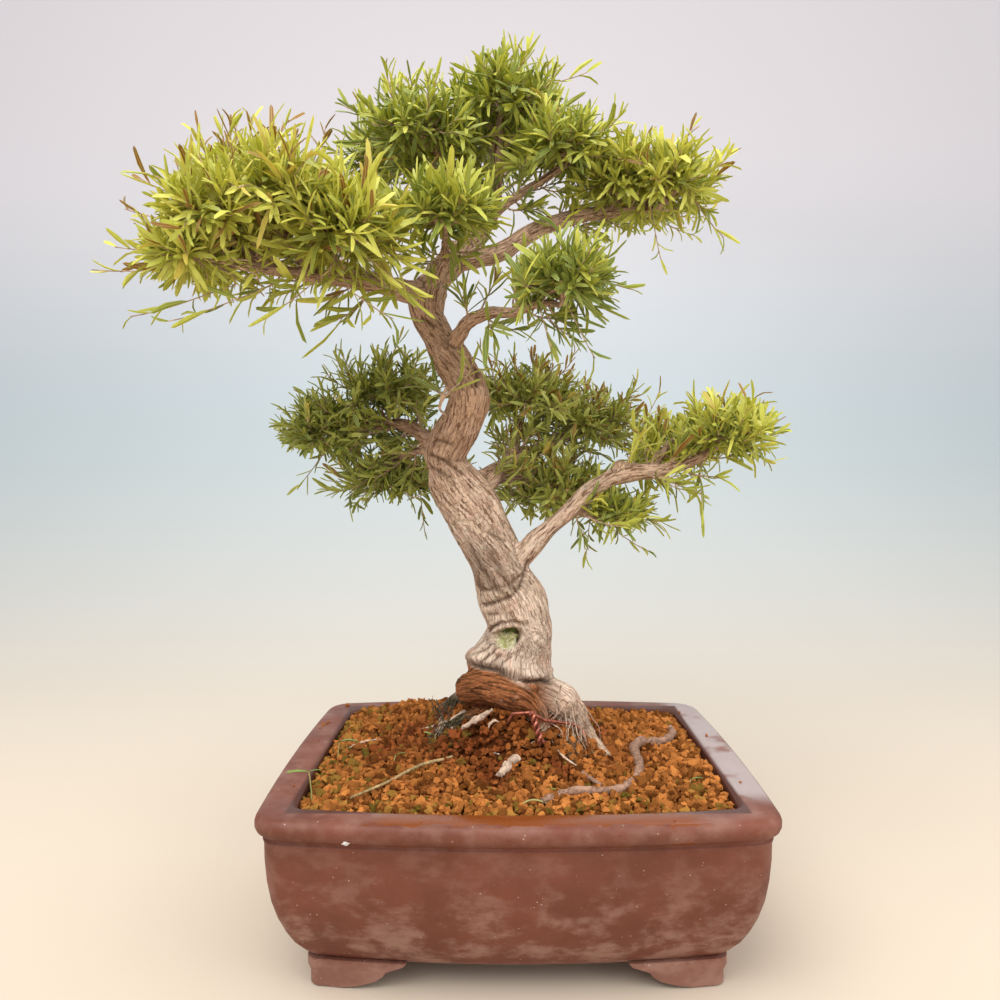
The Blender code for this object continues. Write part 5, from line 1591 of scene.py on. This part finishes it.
def leafy_piece(name, bm, rows, template, finishes, nodes=()):
    """One piece of the twigs in a bmesh and of leaves, each described by a row."""
    twigs = mesh_of(bm, "twigs")
    shape = points_of(template)
    corners = bent_leaves(rows, shape)
    twig_points = points_of(twigs)
    faces = [tuple(face.vertices) for face in twigs.polygons]
    slots = [1] * len(faces)
    outline = [tuple(face.vertices) for face in template.polygons]
    for i in range(len(rows)):
        first = len(twig_points) + i * len(shape)
        faces.extend(tuple(first + v for v in face) for face in outline)
    slots += [0] * (len(faces) - len(slots))
    mesh = bpy.data.meshes.new(name)
    mesh.from_pydata(np.concatenate([twig_points, corners.reshape(-1, 3)]).tolist(), [], faces)
    mesh.polygons.foreach_set("material_index", slots)
    blade = np.empty(corners.shape)
    blade[..., 0] = np.sign(shape[None, :, 0])
    blade[..., 1] = shape[None, :, 1]
    # the third channel: each leaf's painted light and chance
    blade[..., 2] = np.array(rows)[:, 17][:, None]
    plain = np.tile([[0.0, 0.3, 0.5]], (len(twig_points), 1))
    store(mesh, "blade", np.concatenate([plain, blade.reshape(-1, 3)]))
    add_piece(name, mesh, finishes, nodes, 38)


def strays(row, wood_tree):
    """Whether a leaf runs into the wood or well out of the frame's box."""
    base = Vector(row[0:3])
    heading = Vector(row[3:6])
    length = row[12]
    tip = base + heading * length
    low, high = CAD_BOUNDS
    for axis in range(3):
        if not low[axis] - STRAY_MARGIN < tip[axis] < high[axis] + STRAY_MARGIN:
            return True
    return wood_tree.ray_cast(base + heading * 0.005, heading, length - 0.005)[0] is not None


def make_foliage(foliage):
    """All sprays, one piece each, and a small shoot on the trunk."""
    finishes = {
        # painted light and painted shade: lit and shaded copies of one leaf
        "sun": leaf_finish("sun_leaf", foliage, foliage.sun, 0.34),
        "shade": leaf_finish("shade_leaf", foliage, foliage.shade, 0.28),
        "twig": twig_finish(foliage),
    }
    template = leaf_template()
    wood_tree = surface_tree(bpy.data.objects["tree_wood"])
    for number, (name, row) in enumerate(SPRAYS.items()):
        branch, middle, half_sizes, light, clothed = row
        centre = spot(*middle)
        start, direction, radius = carrier_of(branch, centre)
        spray = Spray(foliage, number, start, direction, radius, centre,
                      Vector(half_sizes) * MM, light, LARGE_LEAVES.get(name, 1.0))
        spray.grow(MAIN_TWIGS, foliage.side_twigs, foliage.leaves)
        spray.clothe(rows_of(BRANCHES[branch]), *clothed)
        y, shoots = SHOOTS.get(name, (0, ()))
        for via, end, leaves in shoots:
            spray.long_shoot(spot(via[0], y, via[1]), spot(end[0], y, end[1]), leaves)
        spray.finish(name + "_leaves", finishes, template, wood_tree, [name])
    start, direction, middle, half_sizes = TRUNK_SHOOT
    spray = Spray(foliage, len(SPRAYS), spot(*start), Vector(direction).normalized(), 0.0013,
                  spot(*middle), Vector(half_sizes) * MM, -0.5, 1.4)
    spray.grow(2, 2, 6)
    spray.finish("trunk_shoot_leaves", finishes, template, wood_tree, ())


def make_wire(details):
    """Copper wire: two strands that meet under the floor, twisted over the roots."""
    bm = bmesh.new()
    top = spot(*TWIST_TOP)
    end = spot(*TWIST_END)
    along = (end - top).normalized()
    side = along.orthogonal().normalized()
    across = along.cross(side)
    radius = details.wire_radius
    steps = int(details.turns * 14)
    for table, phase in ((WIRE_LEFT, math.pi), (WIRE_RIGHT, 0.0)):
        straight = [[*spot(*row), radius] for row in table]
        helix = []
        for step in range(steps + 1):
            share = step / steps
            angle = phase + share * details.turns * 2 * math.pi
            spoke = side * math.cos(angle) + across * math.sin(angle)
            place = top.lerp(end, share) + spoke * radius * 1.3
            helix.append([*place, radius])
        rows = np.vstack([smooth_rows(np.array(straight), 5), np.array(helix)])
        sweep(bm, round_rings(rows, 10))
    add_piece("copper_tie", mesh_of(bm, "copper_tie"), [copper_finish(details)],
              ["tie_wire"], 50)


def resting_rows(node, table, lift=0.0):
    """Rows along a table of x, y and radius, lying where the frame's own piece lies."""
    tree = surface_tree(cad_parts[node])
    rows = []
    for x, y, size in table:
        place = spot(x, y, 0)
        hit = None
        for reach in (0, 1, -1, 2, -2):
            start = Vector((place.x + reach * MM, place.y, 0.4))
            hit = hit or tree.ray_cast(start, -UP)[0]
        height = hit.z if hit else rows[-1][2] + size * MM if rows else 0.125
        rows.append([place.x, place.y, height - size * MM + lift, size * MM])
    return np.array(rows)


def make_litter(details):
    """Dead root, stub and twigs that lie on the soil."""
    root = dead_wood_finish("dry_root", tuple(details.dead_wood))
    stub = dead_wood_finish("pale_stub", tuple(details.pale_root))
    straw = dead_wood_finish("straw", tuple(details.straw))
    pieces = (("surface_root", SURFACE_ROOT, 0.45, root), ("root_stub", ROOT_STUB, 0.6, stub),
              ("fallen_twig_left", LEFT_TWIG, 0.3, straw),
              ("fallen_twig_right", RIGHT_TWIG, 0.3, root))
    for number, (node, table, lumps, finish) in enumerate(pieces):
        rows = smooth_rows(resting_rows(node, table, 0.0018 if finish == straw else 0), 8)
        bm = bmesh.new()
        sweep(bm, round_rings(rows, 10, lumps, number * 5.1))
        add_piece(node + "_wood", mesh_of(bm, node), [finish], [node], 60)


def make_fine_roots(details):
    """Fine roots that cling to the root bulges and run out over the soil."""
    draw = random.Random(31)
    wood = surface_tree(bpy.data.objects["tree_wood"])
    groups = {False: bmesh.new(), True: bmesh.new()}
    for middle, spread, runs, turns, count, dark in FINE_ROOTS:
        for _ in range(count):
            foot = [value + draw.gauss(0, 0.5) * size for value, size in zip(middle, spread)]
            turn = draw.uniform(*turns)
            run = draw.uniform(*runs)
            size = draw.uniform(0.18, 0.6)
            bend = draw.uniform(-0.9, 0.9)
            rows = []
            for step in range(9):
                share = step / 8
                angle = turn + bend * share
                x = foot[0] + math.cos(angle) * run * share + draw.uniform(-1, 1)
                y = foot[1] + math.sin(angle) * run * share + draw.uniform(-1, 1)
                z = max(foot[2] - run * share * 1.5, soil_height(x, y) + draw.uniform(-0.6, 1.8))
                place = spot(x, y, z)
                near, normal, _, away = wood.find_nearest(place)
                if away < 0.006 or (place - near).dot(normal) < 0:
                    place = near + normal * draw.uniform(0.0001, 0.0008)
                rows.append([*place, size * MM * (1 - 0.5 * share)])
            sweep(groups[dark], round_rings(smooth_rows(np.array(rows), 2), 4))
    for number, table in enumerate(ROOT_SCRAPS):
        rows = smooth_rows(rows_of(table), 6)
        sweep(groups[False], round_rings(rows, 7, 0.9, number * 2.3))
    pale = dead_wood_finish("fine_root", tuple(details.pale_root))
    black = dead_wood_finish("dark_root", (0.10, 0.075, 0.045))
    add_piece("fine_roots", mesh_of(groups[False], "fine_roots"), [pale], (), 60)
    add_piece("dark_roots", mesh_of(groups[True], "dark_roots"), [black], (), 60)


def make_seedlings():
    """Seedlings, thin shoots and a fallen leaf on the soil."""
    bm = bmesh.new()
    rows = []
    for stem, leaves in SEEDLINGS:
        sweep(bm, round_rings(smooth_rows(rows_of(stem), 5), 5))
        for foot, tip, width in leaves:
            span = spot(*tip) - spot(*foot)
            heading = span.normalized()
            side = heading.cross(UP).normalized()
            rows.append([*spot(*foot), *heading, *side, *side.cross(heading), span.length,
                         width * MM, 0.5, 0.1, 0.3, 0.5])
    sprout = Finish("sprout", 0.45)
    tone = sprout.mix(sprout.noise(sprout.place, 300, 3.0), (0.09, 0.19, 0.02), (0.26, 0.36, 0.06))
    stems = Finish("sprout_stem", 0.5)
    stems.wear(stems.mix(stems.noise(stems.place, 200, 2.0), (0.24, 0.25, 0.06), (0.45, 0.40, 0.15)))
    leafy_piece("seedlings", bm, rows, leaf_template(), [sprout.wear(tone), stems.material])


def make_stage(stage):
    """Floor that curves up behind, soft lights, and the camera."""
    bm = bmesh.new()
    run = [(FLOOR_FRONT, 0.0), (BEND_START, 0.0)]
    for k in range(1, BEND_STEPS + 1):
        angle = k / BEND_STEPS * math.pi / 2
        run.append((BEND_START + math.sin(angle) * BEND_RADIUS, BEND_RADIUS * (1 - math.cos(angle))))
    run.append((BEND_START + BEND_RADIUS, BACKDROP_TOP))
    low = [bm.verts.new((-FLOOR_HALF_WIDTH, y, z)) for y, z in run]
    edges = [bm.edges.new((a, b)) for a, b in zip(low, low[1:])]
    made = bmesh.ops.extrude_edge_only(bm, edges=edges)["geom"]
    bmesh.ops.translate(bm, vec=(2 * FLOOR_HALF_WIDTH, 0, 0),
                        verts=[item for item in made if isinstance(item, bmesh.types.BMVert)])
    mesh = mesh_of(bm, "floor")
    mesh.shade_smooth()
    floor = placed("floor", mesh)
    paper = Finish("paper_backdrop", 0.95, shine=0.1)
    _, y, z = paper.parts(paper.place)
    tone = paper.mix(paper.between(y, -0.1, 2.1), tuple(stage.floor), tuple(stage.middle))
    tone = paper.mix(paper.between(z, 0.3, 1.5), tone, tuple(stage.top))
    mesh.materials.append(paper.wear(tone))
    powers = (stage.key, stage.fill, stage.fill * 1.2)
    for (name, place, size), power in zip(LAMPS, powers):
        lamp = bpy.data.lights.new(name, "AREA")
        lamp.energy = power
        lamp.size = size
        thing = placed(name, lamp)
        thing.location = place
        aim = Vector(LAMP_AIM) - Vector(place)
        thing.rotation_euler = aim.to_track_quat("-Z", "Y").to_euler()
    bpy.context.scene.view_settings.view_transform = "Standard"
    world = bpy.data.worlds.new("room")
    world.use_nodes = True
    ground = world.node_tree.nodes["Background"]
    ground.inputs["Color"].default_value = (0.93, 0.96, 1.0, 1)
    ground.inputs["Strength"].default_value = stage.sky
    bpy.context.scene.world = world
    view = bpy.data.cameras.new("camera")
    view.lens = CAMERA_LENS
    view.sensor_width = CAMERA_SENSOR
    camera = placed("camera", view)
    camera.location = spot(*CAMERA_PLACE)
    camera.rotation_euler = (math.pi / 2 - CAMERA_TILT, 0, 0)
    bpy.context.scene.camera = camera


class BONSAI_OT_pot(bpy.types.Operator):
    """Build the clay pot"""

    bl_idname = "bonsai.pot"
    bl_label = "Clay Pot"

    def execute(self, context):
        make_pot(context.scene.bonsai_pot)
        make_netting()
        return {"FINISHED"}


class BONSAI_OT_wood(bpy.types.Operator):
    """Build the trunk, roots and branches"""

    bl_idname = "bonsai.wood"
    bl_label = "Trunk and Branches"

    def execute(self, context):
        make_wood(context.scene.bonsai_wood)
        return {"FINISHED"}


class BONSAI_OT_soil(bpy.types.Operator):
    """Fill the pot with granular soil"""

    bl_idname = "bonsai.soil"
    bl_label = "Soil"

    def execute(self, context):
        make_soil(context.scene.bonsai_pot, context.scene.bonsai_soil)
        return {"FINISHED"}


class BONSAI_OT_foliage(bpy.types.Operator):
    """Grow the twigs and leaves"""

    bl_idname = "bonsai.foliage"
    bl_label = "Foliage"

    def execute(self, context):
        make_foliage(context.scene.bonsai_foliage)
        return {"FINISHED"}


class BONSAI_OT_details(bpy.types.Operator):
    """Add the tie wire, the litter and the fine roots"""

    bl_idname = "bonsai.details"
    bl_label = "Wire and Litter"

    def execute(self, context):
        details = context.scene.bonsai_details
        make_wire(details)
        make_litter(details)
        make_fine_roots(details)
        make_seedlings()
        return {"FINISHED"}


class BONSAI_OT_stage(bpy.types.Operator):
    """Set up the floor, the lights and the camera"""

    bl_idname = "bonsai.stage"
    bl_label = "Stage"

    def execute(self, context):
        make_stage(context.scene.bonsai_stage)
        return {"FINISHED"}


class BONSAI_PT_panel(bpy.types.Panel):
    """Buttons that build the bonsai, piece by piece"""

    bl_idname = "BONSAI_PT_panel"
    bl_label = "Bonsai"
    bl_space_type = "VIEW_3D"
    bl_region_type = "UI"
    bl_category = "Bonsai"

    def draw(self, context):
        for step in STEPS:
            self.layout.operator(step.bl_idname)


STEPS = (BONSAI_OT_pot, BONSAI_OT_wood, BONSAI_OT_soil, BONSAI_OT_foliage, BONSAI_OT_details,
         BONSAI_OT_stage)
GROUPS = {
    "bonsai_pot": BONSAI_PG_pot,
    "bonsai_soil": BONSAI_PG_soil,
    "bonsai_wood": BONSAI_PG_wood,
    "bonsai_foliage": BONSAI_PG_foliage,
    "bonsai_details": BONSAI_PG_details,
    "bonsai_stage": BONSAI_PG_stage,
}


def register():
    for name, group in GROUPS.items():
        bpy.utils.register_class(group)
        setattr(bpy.types.Scene, name, bpy.props.PointerProperty(type=group))
    for step in STEPS:
        bpy.utils.register_class(step)
    bpy.utils.register_class(BONSAI_PT_panel)


def unregister():
    bpy.utils.unregister_class(BONSAI_PT_panel)
    for step in reversed(STEPS):
        bpy.utils.unregister_class(step)
    for name, group in reversed(GROUPS.items()):
        delattr(bpy.types.Scene, name)
        bpy.utils.unregister_class(group)


def main():
    """Register the add-on's classes, whose property groups hold the sizes, and build everything."""
    register()
    bpy.ops.bonsai.pot()
    bpy.ops.bonsai.wood()
    bpy.ops.bonsai.soil()
    bpy.ops.bonsai.foliage()
    bpy.ops.bonsai.details()
    bpy.ops.bonsai.stage()


if __name__ == "__main__":
    main()
